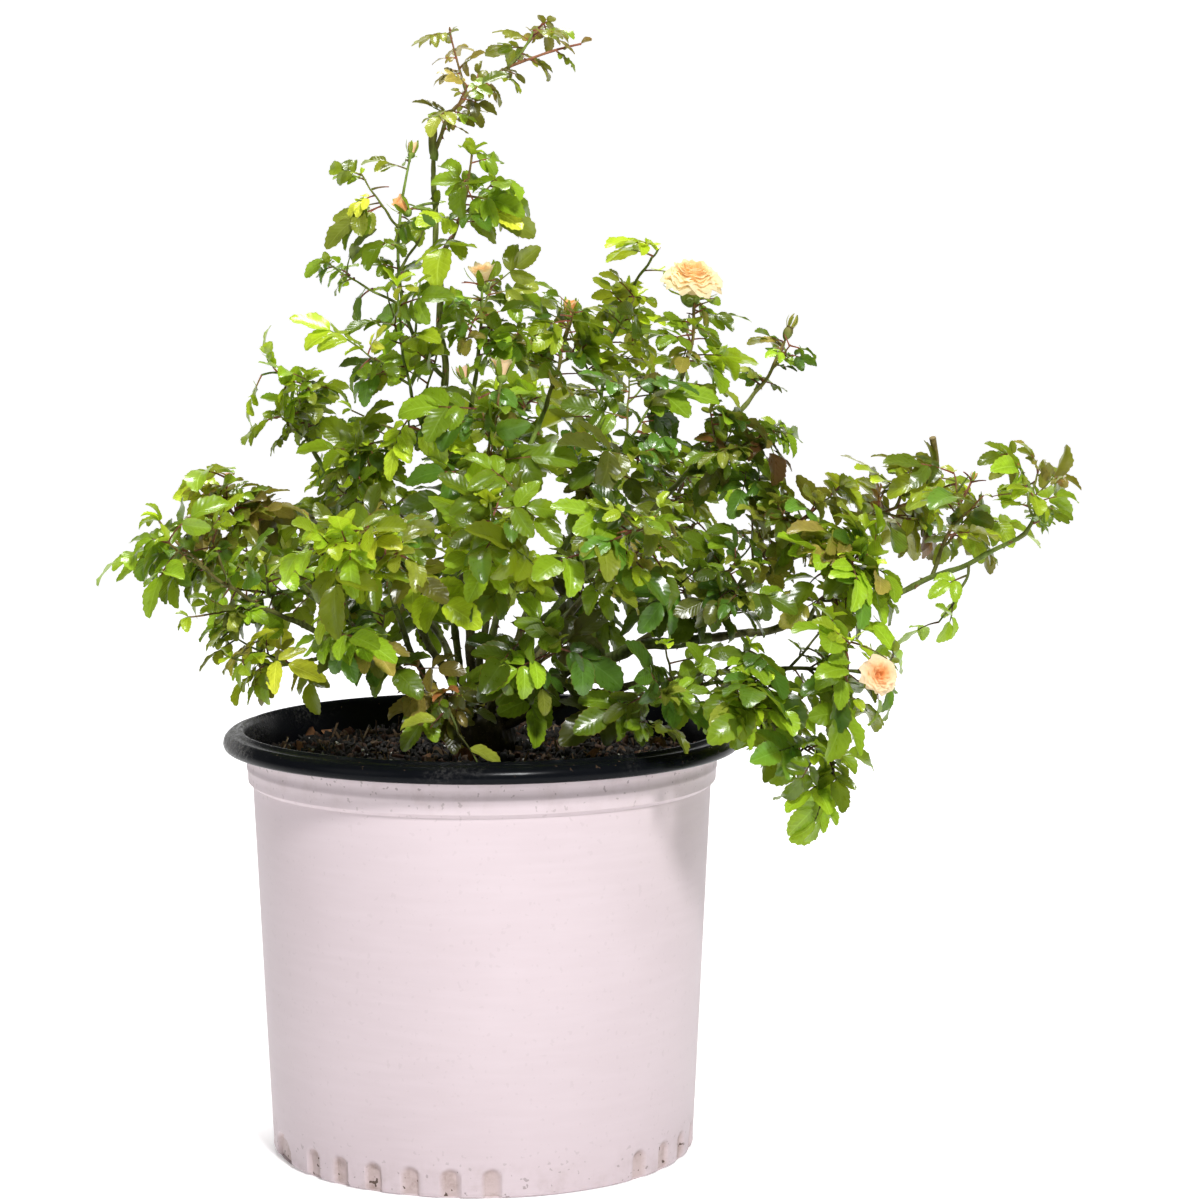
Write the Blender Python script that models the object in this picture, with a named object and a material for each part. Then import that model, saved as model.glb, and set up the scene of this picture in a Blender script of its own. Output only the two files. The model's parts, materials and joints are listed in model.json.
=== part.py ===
"""A patio rose in its nursery pot: pot, soil, root crown, canes and leafy sprays.

Metres, +Z up.  The origin is the centre of the pot's flat underside.  +X runs to the long
right-hand wing of the bush and -Y is its front.  Places on the bush are given in
millimetres from the centre of the pot's rim, as (right, back, up).
"""
import math
import random
from collections import namedtuple

import bmesh
import bpy
from mathutils import Matrix, Vector
from mathutils.bvhtree import BVHTree
from mathutils.kdtree import KDTree

MM = 0.001
UP = Vector((0.0, 0.0, 1.0))
GAP = 0.3 * MM              # clear space between neighbouring solids

# --- pot: a blow-moulded nursery pot with a black rolled rim -------------------------------
POT_HEIGHT = 235 * MM
RIM_RADIUS = 142.5 * MM
RIM_MOUTH_RADIUS = 132.5 * MM
RIM_DROP = 11 * MM          # height of the rolled rim
COLLAR_RADIUS = 130.5 * MM  # just under the rim
COLLAR_DROP = 29 * MM       # rim top to the step under the collar
BODY_TOP_RADIUS = 126.3 * MM
BODY_FOOT_RADIUS = 117.1 * MM
FOOT_CORNER = 4 * MM        # rounding at the foot
POT_WALL = 2.4 * MM
POT_FLOOR = 3 * MM
POT_SEGMENTS = 40

# Drainage recesses round the foot; the pattern repeats on each half turn.
RECESS_WIDTH = 6 * MM
RECESS_HEIGHT = 15 * MM
RECESS_DEPTH = 1.4 * MM
RECESS_STEP = 10.7          # degrees from one to the next
RECESS_GROUPS = ((-49.5, 6), (47.5, 5))     # first bearing in degrees, how many
NOTCH_BEARING = -68.0
NOTCH_WIDTH = 24 * MM
NOTCH_HEIGHT = 14 * MM

SOIL_TOP = 218 * MM
SOIL_MOUND = 4 * MM         # how much the soil is heaped round the crown
SOIL_SEGMENTS = 24

# --- root crown: the short woody stem that every cane springs from -------------------------
CROWN_RADIUS = 19 * MM
CROWN_SINK = 6 * MM         # height of its middle above the soil

# --- canes --------------------------------------------------------------------------------
CANE_SIDES = 6
CANE_RINGS = 6
FOOT_SPREAD = math.radians(21)  # least angle between two canes where they leave the crown
SPREAD_ROUNDS = 60
SHOOT_LEAN = 0.8            # along the carrying cane for each unit out from it
CANE_PULL = 0.42            # how far a cane keeps its first heading, of its length
SPREAD_PUSH = 0.05          # how far one round moves two close headings apart
# The tip is a place, the widths are in millimetres, and rise is how much a cane
# climbs at its foot for each unit of its reach.
Cane = namedtuple("Cane", "name parent tip foot_width tip_width rise bark")
CANES = (
    Cane("tall_cane", "root_crown", (-25, -10, 300), 5.8, 2.8, 0.55, "cane_young"),
    Cane("left_top_cane", "root_crown", (-92, 25, 146), 4.8, 2.6, 0.35, "cane_young"),
    Cane("left_mid_cane", "root_crown", (-118, -14, 98), 4.8, 2.8, 0.40, "cane_old"),
    Cane("left_low_cane", "root_crown", (-102, -60, 66), 5.2, 2.8, 0.30, "cane_old"),
    Cane("front_left_cane", "root_crown", (-44, -94, 84), 4.4, 2.6, 0.40, "cane_young"),
    Cane("front_right_cane", "root_crown", (48, -96, 82), 4.4, 2.6, 0.45, "cane_young"),
    Cane("centre_cane", "root_crown", (-4, -34, 178), 4.6, 2.6, 0.50, "cane_young"),
    Cane("bud_cane", "root_crown", (34, 4, 172), 4.6, 2.6, 0.55, "cane_young"),
    Cane("right_top_cane", "root_crown", (98, 16, 170), 5.2, 2.8, 0.50, "cane_young"),
    Cane("hip_cane", "root_crown", (148, 44, 176), 4.8, 2.6, 0.30, "cane_young"),
    Cane("old_right_cane", "root_crown", (126, -14, 50), 8.6, 5.4, 0.45, "cane_old"),
    Cane("wing_cane", "old_right_cane", (290, -40, 107), 4.6, 2.4, 0.35, "cane_young"),
    Cane("wing_top_cane", "root_crown", (204, 16, 108), 5.0, 2.6, 0.35, "cane_young"),
    Cane("low_right_cane", "root_crown", (150, -72, 40), 4.8, 2.8, 0.30, "cane_old"),
    Cane("back_left_cane", "root_crown", (-64, 78, 94), 4.8, 2.6, 0.40, "cane_young"),
    Cane("back_cane", "root_crown", (16, 84, 120), 4.8, 2.6, 0.45, "cane_young"),
    Cane("back_right_cane", "root_crown", (88, 78, 90), 4.8, 2.6, 0.40, "cane_young"),
)

# --- sprays: one mass of twigs and leaves each --------------------------------------------
# A spray leaves its cane at a share along it and its stem ends at the tip, a place.
# leaves is how many leaves it tries to grow, of leaf_size millimetres.
Spray = namedtuple("Spray", "name cane along tip leaves leaf_size ending tint")
SPRAYS = (
    Spray("tall_top_spray", "tall_cane", 1.00, (55, -10, 371), 15, 24, "leaf", "leaf_bronze"),
    Spray("tall_side_spray", "tall_cane", 0.86, (-3, -40, 311), 9, 35, "leaf", "leaf_fresh"),
    Spray("shoulder_spray", "tall_cane", 0.66, (-36, -18, 314), 18, 30, "bud", "leaf_fresh"),
    Spray("column_spray", "tall_cane", 0.48, (-43, -35, 241), 17, 36, "leaf", "leaf_fresh"),
    Spray("left_top_spray", "left_top_cane", 1.00, (-97, 29, 189), 15, 32, "leaf", "leaf_fresh"),
    Spray("left_inner_spray", "left_top_cane", 0.62, (-62, -22, 158), 17, 42, "leaf", "leaf_fresh"),
    Spray("bronze_spray", "left_mid_cane", 1.00, (-144, -15, 126), 17, 33, "leaf", "leaf_bronze"),
    Spray("left_mid_spray", "left_mid_cane", 0.62, (-129, 55, 103), 14, 42, "leaf", "leaf_fresh"),
    Spray("left_base_spray", "left_mid_cane", 0.78, (-126, -78, 71), 15, 42, "leaf", "leaf_deep"),
    Spray("left_low_spray", "left_low_cane", 1.00, (-170, -52, 117), 17, 36, "leaf", "leaf_fresh"),
    Spray("left_droop_spray", "left_low_cane", 0.72, (-129, -85, 48), 7, 30, "leaf", "leaf_lime"),
    Spray("centre_left_spray", "front_left_cane", 1.00, (-64, -128, 119), 15, 45, "leaf", "leaf_lime"),
    Spray("low_left_spray", "front_left_cane", 0.60, (-67, -113, 85), 11, 40, "leaf", "leaf_deep"),
    Spray("low_front_spray", "front_left_cane", 0.24, (-16, -98, 31), 10, 36, "leaf", "leaf_bronze"),
    Spray("low_centre_spray", "front_right_cane", 0.36, (42, -104, 58), 10, 39, "leaf", "leaf_deep"),
    Spray("centre_front_spray", "front_right_cane", 0.70, (9, -127, 133), 16, 45, "leaf", "leaf_lime"),
    Spray("centre_right_spray", "front_right_cane", 1.00, (96, -117, 129), 15, 44, "leaf", "leaf_fresh"),
    Spray("half_open_spray", "centre_cane", 1.00, (2, -30, 246), 16, 36, "half", "leaf_fresh"),
    Spray("upper_front_spray", "centre_cane", 0.70, (12, -72, 186), 14, 44, "leaf", "leaf_fresh"),
    Spray("bud_spray", "bud_cane", 1.00, (48, 5, 228), 16, 36, "bud", "leaf_fresh"),
    Spray("crest_spray", "right_top_cane", 0.80, (82, 37, 238), 17, 34, "leaf", "leaf_lime"),
    Spray("bloom_spray", "right_top_cane", 1.00, (116, 22, 244), 13, 36, "bloom", "leaf_fresh"),
    Spray("right_inner_spray", "right_top_cane", 0.60, (91, -50, 177), 18, 44, "leaf", "leaf_deep"),
    Spray("hip_spray", "hip_cane", 1.00, (169, 46, 212), 6, 22, "hip", "leaf_deep"),
    Spray("right_shoulder_spray", "hip_cane", 0.78, (140, -25, 154), 15, 40, "leaf", "leaf_deep"),
    Spray("wing_tip_spray", "wing_cane", 1.00, (286, -36, 152), 13, 24, "leaf", "leaf_fresh"),
    Spray("wing_bud_spray", "wing_cane", 0.74, (268, -14, 138), 16, 32, "bud", "leaf_bronze"),
    Spray("right_mid_spray", "wing_cane", 0.34, (206, -45, 102), 20, 40, "leaf", "leaf_fresh"),
    Spray("wing_top_spray", "wing_top_cane", 1.00, (247, 23, 124), 17, 31, "leaf", "leaf_bronze"),
    Spray("wing_base_spray", "wing_top_cane", 0.70, (182, -23, 122), 19, 40, "leaf", "leaf_bronze"),
    Spray("under_base_spray", "wing_top_cane", 0.46, (137, -72, 95), 18, 43, "leaf", "leaf_deep"),
    Spray("right_bloom_spray", "low_right_cane", 1.00, (211, -94, 40), 18, 36, "rose", "leaf_fresh"),
    Spray("right_base_spray", "low_right_cane", 0.66, (150, -102, 40), 18, 41, "leaf", "leaf_fresh"),
    Spray("right_droop_spray", "low_right_cane", 0.84, (190, -80, -9), 13, 34, "leaf", "leaf_fresh"),
    Spray("low_right_spray", "low_right_cane", 0.46, (99, -117, 33), 10, 39, "leaf", "leaf_deep"),
    Spray("back_left_spray", "back_left_cane", 1.00, (-85, 115, 118), 14, 45, "leaf", "leaf_fresh"),
    Spray("back_low_left_spray", "back_left_cane", 0.60, (-58, 115, 91), 13, 43, "leaf", "leaf_deep"),
    Spray("back_centre_spray", "back_cane", 1.00, (5, 115, 179), 13, 46, "leaf", "leaf_fresh"),
    Spray("back_right_spray", "back_right_cane", 1.00, (116, 104, 137), 14, 45, "leaf", "leaf_fresh"),
    Spray("back_low_right_spray", "back_right_cane", 0.60, (85, 115, 91), 13, 43, "leaf", "leaf_deep"),
)

# What ends a stem: radius, sides, and its profile as shares of the radius (out, along).
ROSE_PROFILE = ((0.22, -0.45), (0.80, -0.15), (1.0, 0.25), (0.55, 0.55))
ENDINGS = {
    "bloom": (16 * MM, 8, ROSE_PROFILE),
    "rose": (11.5 * MM, 8, ROSE_PROFILE),
    "half": (7.5 * MM, 8, ((0.35, -0.9), (0.9, -0.1), (1.0, 0.6), (0.7, 1.1))),
    "bud": (4.5 * MM, 6, ((0.5, -1.0), (1.0, -0.2), (0.75, 0.9), (0.2, 1.6))),
    "hip": (4.5 * MM, 6, ((0.4, -0.9), (1.0, 0.0), (0.6, 0.9))),
}
LOOKS = {"bloom_spray": (0.1, -0.35, 1.0), "right_bloom_spray": (0.4, -0.85, 0.35)}

SEED = 20                    # each spray grows from its own seed, counted on from this one

# Stems and side twigs
STEM_SEGMENTS = 4
STEM_LEAVES = 6              # on the stem itself before side twigs are added
STEM_LEAF_SPAN = (0.22, 0.78)   # first leaf and how far they run, as shares of the stem
STEM_PULL = 0.5              # how far a stem keeps its first heading, of its length
STEM_RADIUS = 1.25 * MM
STEM_TIP_RADIUS = 0.75 * MM
TWIG_RADIUS = 0.85 * MM
TWIG_TIP_RADIUS = 0.6 * MM
TWIG_SPAN = (0.16, 0.66)    # first side twig and how far they run, as shares of the stem
TWIG_REACH = 0.30           # of the stem's length
TWIG_LEAST_REACH = 12 * MM  # added to that
TWIG_FADE = (1.1, 0.4)      # reach at the stem's foot, and what it loses by the tip
TWIG_ALONG = 0.7            # how far a twig leans along its stem, upward and outward,
TWIG_RISE = 0.35            # each for one unit out from it
TWIG_OUTWARD = 0.3
TWIG_STEPS = (0.42, 0.72, 0.97)     # where a side twig's leaves are along it
TWIG_LEAVES = len(TWIG_STEPS)

# Leaves
LEAF_TURN = math.radians(144)   # a rose turns two fifths of a circle from leaf to leaf
LEAF_ANGLE = math.radians(58)   # between a leaf and its twig
LEAF_LIFT = 0.7             # share of its climb that a leaf keeps
LEAF_DROOP = 0.12           # how far its tip hangs
LEAF_FACE_UP = 0.75         # how far its upper face looks up, and outward
LEAF_FACE_OUT = 0.65
LEAF_TILT = 0.45            # chance part of the way its face looks
LEAF_WIDTH = 0.66           # of the leaf's length
LEAF_WIDEST = 0.46          # widest and thickest places as shares of the length
LEAF_THICKEST = 0.16
LEAF_THICKNESS = 0.8 * MM
LEAF_TRIES = 8              # turns of a leaf before it is left out
LEAF_FOOT_SIZE = 1.15       # size at a stem's foot, and what it loses by the tip
LEAF_TAPER = 0.35
ENDING_LIFT = 0.5           # how far a bud or hip looks up from its stem's heading
SPACE_EDGE = 0.35           # share of a piece's half length that may pass its space's edge
LIMB_MARGIN = 0.6 * MM      # from every cane and from the other sprays' stems
POT_MARGIN = 4 * MM         # from the pot's rim

# Colour and roughness of each finish.
FINISHES = {
    "pot_plastic": ((0.70, 0.57, 0.61), 0.38),
    "soil": ((0.030, 0.021, 0.016), 0.95),
    "cane_old": ((0.12, 0.075, 0.045), 0.85),
    "cane_young": ((0.19, 0.25, 0.08), 0.55),
    "leaf_fresh": ((0.17, 0.30, 0.05), 0.45),
    "leaf_deep": ((0.075, 0.17, 0.04), 0.45),
    "leaf_lime": ((0.34, 0.45, 0.06), 0.45),
    "leaf_bronze": ((0.22, 0.19, 0.07), 0.45),
}


# %% small helpers --------------------------------------------------------------------------
def clear_scene():
    for item in list(bpy.data.objects):
        bpy.data.objects.remove(item, do_unlink=True)


def finish(name):
    """The Principled material of a finish, made on first use."""
    if name in bpy.data.materials:
        return bpy.data.materials[name]
    colour, roughness = FINISHES[name]
    material = bpy.data.materials.new(name)
    material.use_nodes = True
    shader = material.node_tree.nodes["Principled BSDF"]
    shader.inputs["Base Color"].default_value = (*colour, 1.0)
    shader.inputs["Roughness"].default_value = roughness
    shader.inputs["Metallic"].default_value = 0.0
    material.diffuse_color = (*colour, 1.0)
    return material


def add_object(name, bm, finish_name):
    """Turn a closed bmesh into a named object with outward faces."""
    bmesh.ops.recalc_face_normals(bm, faces=bm.faces)
    mesh = bpy.data.meshes.new(name)
    bm.to_mesh(mesh)
    bm.free()
    mesh.materials.append(finish(finish_name))
    item = bpy.data.objects.new(name, mesh)
    bpy.context.scene.collection.objects.link(item)
    return item


def smooth(item, angle):
    item.data.shade_smooth()
    item.data.set_sharp_from_angle(angle=math.radians(angle))


def from_rim(place):
    """A place in millimetres from the rim's centre, as a point in metres."""
    return Vector(place) * MM + UP * POT_HEIGHT


def any_normal(direction):
    """A unit vector square to the direction."""
    return direction.orthogonal().normalized()


def bezier(start, pull, end, t):
    return start * (1 - t) ** 2 + pull * (2 * t * (1 - t)) + end * t ** 2


def bezier_slope(start, pull, end, t):
    return ((pull - start) * (1 - t) + (end - pull) * t).normalized()


def place_on(points, share):
    """Place and slope at a share of the way along a path of straight pieces."""
    scaled = share * (len(points) - 1)
    k = min(int(scaled), len(points) - 2)
    return points[k].lerp(points[k + 1], scaled - k), (points[k + 1] - points[k]).normalized()


def add_tube(bm, points, radii, sides):
    """Bridge rings of vertices set square to a path, and close both ends."""
    steps = [(b - a).normalized() for a, b in zip(points, points[1:])]
    slopes = [steps[0]]
    slopes += [(a + b).normalized() for a, b in zip(steps, steps[1:])]
    slopes.append(steps[-1])
    across = any_normal(slopes[0])
    rings = []
    for point, slope, radius in zip(points, slopes, radii):
        across = (across - slope * across.dot(slope)).normalized()
        beside = slope.cross(across)
        ring = []
        for k in range(sides):
            turn = math.tau * k / sides
            offset = across * math.cos(turn) + beside * math.sin(turn)
            ring.append(bm.verts.new(point + offset * radius))
        rings.append(ring)
    for lower, upper in zip(rings, rings[1:]):
        for k in range(sides):
            j = (k + 1) % sides
            bm.faces.new((lower[k], lower[j], upper[j], upper[k]))
    bm.faces.new(rings[0][::-1])
    bm.faces.new(rings[-1])
    return rings


# %% pot and soil ---------------------------------------------------------------------------
def pot_outline():
    """Radius and height down the outside of the pot, from its mouth to its foot."""
    rim_foot = POT_HEIGHT - RIM_DROP
    step = POT_HEIGHT - COLLAR_DROP
    outline = [
        (RIM_MOUTH_RADIUS, POT_HEIGHT),
        (RIM_RADIUS - 4 * MM, POT_HEIGHT - 1.5 * MM),
        (RIM_RADIUS, POT_HEIGHT - 6 * MM),
        (RIM_RADIUS - 1 * MM, rim_foot),
        (COLLAR_RADIUS, rim_foot),
        (COLLAR_RADIUS - 1.5 * MM, step),
        (BODY_TOP_RADIUS, step - 1.5 * MM),
        (BODY_FOOT_RADIUS, 9 * MM),
    ]
    for turn in (math.radians(45), math.radians(90)):
        inset = FOOT_CORNER * (1 - math.cos(turn))
        outline.append((BODY_FOOT_RADIUS - inset, FOOT_CORNER * (1 - math.sin(turn))))
    return outline


def pot_lining():
    """Radius and height up the inside of the pot, from its floor to its mouth."""
    step = POT_HEIGHT - COLLAR_DROP
    return [
        (wall_radius(POT_FLOOR) - POT_WALL, POT_FLOOR),
        (BODY_TOP_RADIUS - POT_WALL, step - 3 * MM),
        (COLLAR_RADIUS - 1.5 * MM - POT_WALL, step + 3 * MM),
        (COLLAR_RADIUS - POT_WALL, POT_HEIGHT - RIM_DROP),
        (RIM_MOUTH_RADIUS - 1.2 * MM, POT_HEIGHT - 0.6 * MM),
    ]


def wall_radius(height):
    """Outer radius of the tapering body at a height."""
    share = height / (POT_HEIGHT - COLLAR_DROP)
    return BODY_FOOT_RADIUS + (BODY_TOP_RADIUS - BODY_FOOT_RADIUS) * share


def turn_outline(bm, outline, segments):
    """Turn a profile of (radius, height) about Z; both ends lie on the axis or close there."""
    rings = []
    for radius, height in outline:
        ring = []
        for k in range(segments):
            turn = math.tau * k / segments
            place = (radius * math.cos(turn), radius * math.sin(turn), height)
            ring.append(bm.verts.new(place))
        rings.append(ring)
    for upper, lower in zip(rings, rings[1:]):
        for k in range(segments):
            j = (k + 1) % segments
            bm.faces.new((upper[k], upper[j], lower[j], lower[k]))
    bm.faces.new(rings[0])
    bm.faces.new(rings[-1])


def arch_cutter(name, bearing, width, height, depth):
    """A round-topped block that stands in the pot's wall at a bearing, clockwise from -Y."""
    bm = bmesh.new()
    half = width / 2
    reach = RIM_RADIUS - BODY_FOOT_RADIUS
    profile = [(-half, -5 * MM), (half, -5 * MM)]
    for k in range(4):
        turn = math.pi * k / 3
        profile.append((half * math.cos(turn), height - half + half * math.sin(turn)))
    corners = [bm.verts.new((x, 0, z)) for x, z in profile]
    face = bm.faces.new(corners)
    block = bmesh.ops.extrude_face_region(bm, geom=[face])
    moved = [part for part in block["geom"] if isinstance(part, bmesh.types.BMVert)]
    bmesh.ops.translate(bm, verts=moved, vec=(0, -reach, 0))
    place = Matrix.Rotation(math.radians(bearing), 4, "Z")
    place = place @ Matrix.Translation((0, depth - BODY_FOOT_RADIUS, 0))
    bmesh.ops.transform(bm, matrix=place, verts=bm.verts)
    cutter = add_object(name, bm, "pot_plastic")
    cutter.hide_render = True
    cutter.display_type = "WIRE"
    return cutter


def foot_cutters():
    """Every recess and notch of the foot, on both half turns."""
    cutters = []
    for half_turn in (0, 180):
        for first, count in RECESS_GROUPS:
            for k in range(count):
                bearing = first + RECESS_STEP * k + half_turn
                cutters.append(arch_cutter("recess", bearing, RECESS_WIDTH, RECESS_HEIGHT, RECESS_DEPTH))
        bearing = NOTCH_BEARING + half_turn
        cutters.append(arch_cutter("notch", bearing, NOTCH_WIDTH, NOTCH_HEIGHT, RECESS_DEPTH))
    return cutters


def apply_boolean(item, pieces, operation):
    """Combine an object with pieces by one Boolean on their collection, then remove them."""
    group = bpy.data.collections.new("pieces of " + item.name)
    bpy.context.scene.collection.children.link(group)
    for piece in pieces:
        for home in list(piece.users_collection):
            home.objects.unlink(piece)
        group.objects.link(piece)
    combine = item.modifiers.new("combine", "BOOLEAN")
    combine.operation = operation
    combine.operand_type = "COLLECTION"
    combine.collection = group
    combine.solver = "EXACT"
    graph = bpy.context.evaluated_depsgraph_get()
    joined = bpy.data.meshes.new_from_object(item.evaluated_get(graph))
    item.modifiers.clear()
    old = item.data
    item.data = joined
    bpy.data.meshes.remove(old)
    for piece in list(group.objects):
        mesh = piece.data
        bpy.data.objects.remove(piece)
        bpy.data.meshes.remove(mesh)
    bpy.data.collections.remove(group)


def build_pot():
    bm = bmesh.new()
    turn_outline(bm, pot_lining() + pot_outline(), POT_SEGMENTS)
    pot = add_object("pot", bm, "pot_plastic")
    apply_boolean(pot, foot_cutters(), "DIFFERENCE")
    smooth(pot, 35)


def build_soil():
    """Potting soil that fills the pot, heaped a little round the crown."""
    floor = POT_FLOOR + GAP
    clear = POT_WALL + 2 * GAP
    outline = [
        (CROWN_RADIUS, SOIL_TOP + SOIL_MOUND),
        (0.55 * BODY_TOP_RADIUS, SOIL_TOP + 0.5 * SOIL_MOUND),
        (0.94 * BODY_TOP_RADIUS, SOIL_TOP - 1 * MM),
        (BODY_TOP_RADIUS - clear, SOIL_TOP - 3 * MM),
        (wall_radius(floor) - clear, floor),
    ]
    bm = bmesh.new()
    turn_outline(bm, outline, SOIL_SEGMENTS)
    add_object("soil", bm, "soil")


# %% canes ----------------------------------------------------------------------------------
def crown_middle():
    return Vector((0, 0, SOIL_TOP + SOIL_MOUND + CROWN_SINK))


def crown_mesh():
    """A woody knob with a flat cut just above the soil."""
    bm = bmesh.new()
    bmesh.ops.create_icosphere(bm, subdivisions=2, radius=CROWN_RADIUS)
    bmesh.ops.translate(bm, verts=bm.verts, vec=crown_middle())
    ground = Vector((0, 0, SOIL_TOP + SOIL_MOUND + GAP))
    everything = bm.verts[:] + bm.edges[:] + bm.faces[:]
    cut = bmesh.ops.bisect_plane(
        bm, geom=everything, plane_co=ground, plane_no=UP, clear_inner=True)
    rim = [part for part in cut["geom_cut"] if isinstance(part, bmesh.types.BMEdge)]
    bmesh.ops.contextual_create(bm, geom=rim)
    return bm


def seat_on_crown(tree, leave, radius):
    """How far out along a heading a round foot sits a gap clear of the crown's facets."""
    far = leave * 2 * CROWN_RADIUS
    top = 0.0
    for ring in (0, 0.5, 1):
        for k in range(2 * CANE_SIDES):
            offset = out_from(leave, math.pi * k / CANE_SIDES) * radius * ring
            place, normal, face, drop = tree.ray_cast(crown_middle() + offset + far, -leave)
            top = max(top, far.length - drop)
    return top + GAP


def foot_headings():
    """Which way each cane leaves the crown: up from its tip's bearing, then spread apart."""
    middle = crown_middle()
    headings = {}
    for cane in CANES:
        if cane.parent == "root_crown":
            way = from_rim(cane.tip) - middle
            headings[cane.name] = (way + UP * cane.rise * way.length).normalized()
    for spread_round in range(SPREAD_ROUNDS):
        for name, heading in headings.items():
            for other, way in headings.items():
                if other != name and heading.angle(way) < FOOT_SPREAD:
                    push = (heading - way).normalized() * SPREAD_PUSH
                    headings[name] = heading = (heading + push).normalized()
    return headings


def cane_path(cane, paths, headings, crown_tree):
    """Start, pull and end of a cane's curve, with its foot and tip radius."""
    end = from_rim(cane.tip)
    foot_radius = cane.foot_width * MM / 2
    if cane.parent == "root_crown":
        leave = headings[cane.name]
        start = crown_middle() + leave * seat_on_crown(crown_tree, leave, foot_radius)
    else:
        start, leave = leaving_point(paths[cane.parent], 1, end, foot_radius)
    pull = start + leave * (end - start).length * CANE_PULL
    return start, pull, end, foot_radius, cane.tip_width * MM / 2


def leaving_point(carrier, along, end, radius):
    """Where a shoot starts on its cane, and which way: on from the tip, or off the side."""
    start, pull, tip, foot_radius, tip_radius = carrier
    slope = bezier_slope(start, pull, tip, along)
    place = bezier(start, pull, tip, along)
    if along >= 1:
        return place + slope * GAP, slope
    out = end - place
    out = (out - slope * out.dot(slope)).normalized()
    leave = (out + slope * SHOOT_LEAN).normalized()
    girth = foot_radius + (tip_radius - foot_radius) * along
    clear = (girth + GAP + radius * leave.dot(slope)) / leave.dot(out)
    return place + leave * clear, leave


def all_cane_paths():
    """Each cane's path by name; a cane that carries another comes before it."""
    paths = {}
    headings = foot_headings()
    crown_tree = tree_of(crown_mesh())
    for cane in CANES:
        paths[cane.name] = cane_path(cane, paths, headings, crown_tree)
    return paths


def cane_rings(path, margin=0.0):
    """Points and radii along a cane."""
    start, pull, end, foot_radius, tip_radius = path
    shares = [k / CANE_RINGS for k in range(CANE_RINGS + 1)]
    points = [bezier(start, pull, end, t) for t in shares]
    radii = [foot_radius + (tip_radius - foot_radius) * t + margin for t in shares]
    return points, radii


def build_cane(cane, path):
    bm = bmesh.new()
    points, radii = cane_rings(path)
    add_tube(bm, points, radii, CANE_SIDES)
    smooth(add_object(cane.name, bm, cane.bark), 70)


# %% sprays: the growth rule ----------------------------------------------------------------
Shoot = namedtuple("Shoot", "points foot_radius tip_radius")
Leaf = namedtuple("Leaf", "shoot root slope turn tilt length")


def stem_path(spray, paths):
    end = from_rim(spray.tip)
    start, leave = leaving_point(paths[spray.cane], spray.along, end, STEM_RADIUS)
    pull = start + leave * (end - start).length * STEM_PULL
    return start, pull, end


def out_from(slope, turn):
    """A unit vector square to a shoot, at a turn round it."""
    across = any_normal(slope)
    return across * math.cos(turn) + slope.cross(across) * math.sin(turn)


def leaf_axes(leaf):
    """Which way a leaf points, and which way its upper face looks."""
    heading = leaf.slope * math.cos(LEAF_ANGLE)
    heading += out_from(leaf.slope, leaf.turn) * math.sin(LEAF_ANGLE)
    heading.z = heading.z * LEAF_LIFT - LEAF_DROOP
    heading.normalize()
    outward = Vector((leaf.root.x, leaf.root.y, 0)).normalized()
    face = UP * LEAF_FACE_UP + outward * LEAF_FACE_OUT + leaf.tilt
    face = (face - heading * face.dot(heading)).normalized()
    return heading, face


def grow_spray(spray, paths, seed):
    """Stem, side twigs and leaf places of one spray, from its own run of chances."""
    chance = random.Random(seed)
    start, pull, end = stem_path(spray, paths)
    length = (end - start).length
    size = spray.leaf_size * MM
    shares = [k / STEM_SEGMENTS for k in range(STEM_SEGMENTS + 1)]
    stem = [bezier(start, pull, end, t) for t in shares]
    shoots = [Shoot(stem, STEM_RADIUS, STEM_TIP_RADIUS)]
    leaves = []
    turn = chance.uniform(0, math.tau)

    def add_leaf_place(shoot, root, slope, fade):
        tilt = Vector([chance.uniform(-LEAF_TILT, LEAF_TILT) for axis in range(3)])
        long = size * fade * chance.uniform(0.85, 1.1)
        leaves.append(Leaf(shoot, root, slope, turn, tilt, long))

    twigs = max(1, round((spray.leaves - STEM_LEAVES) / TWIG_LEAVES))
    places = spray.leaves - twigs * TWIG_LEAVES
    for k in range(places):
        share = STEM_LEAF_SPAN[0] + STEM_LEAF_SPAN[1] * (k + 0.5) / places
        turn += LEAF_TURN
        root, slope = place_on(stem, share)
        add_leaf_place(0, root, slope, LEAF_FOOT_SIZE - LEAF_TAPER * share)
    for k in range(twigs):
        share = TWIG_SPAN[0] + TWIG_SPAN[1] * (k + 0.5) / twigs
        turn += LEAF_TURN
        foot, slope = place_on(stem, share)
        outward = Vector((foot.x, foot.y, 0)).normalized()
        heading = out_from(slope, turn) + slope * TWIG_ALONG
        heading += UP * TWIG_RISE + outward * TWIG_OUTWARD
        heading.normalize()
        reach = (TWIG_REACH * length + TWIG_LEAST_REACH) * chance.uniform(0.8, 1.15)
        reach *= TWIG_FADE[0] - TWIG_FADE[1] * share
        tip = foot + heading * reach
        shoots.append(Shoot([foot, tip], TWIG_RADIUS, TWIG_TIP_RADIUS))
        for step in TWIG_STEPS:
            turn += LEAF_TURN
            root = foot.lerp(tip, step)
            add_leaf_place(len(shoots) - 1, root, heading, 1.0)
    return shoots, leaves


def map_spaces(stems):
    """A search tree of points along every stem: a spray's space is what lies nearest its own."""
    owners = []
    places = []
    for name, stem in stems.items():
        for lower, upper in zip(stem.points, stem.points[1:]):
            owners += [name, name]
            places += [lower.lerp(upper, 0.5), upper]
    tree = KDTree(len(places))
    for number, place in enumerate(places):
        tree.insert(place, number)
    tree.balance()
    return tree, owners


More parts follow.
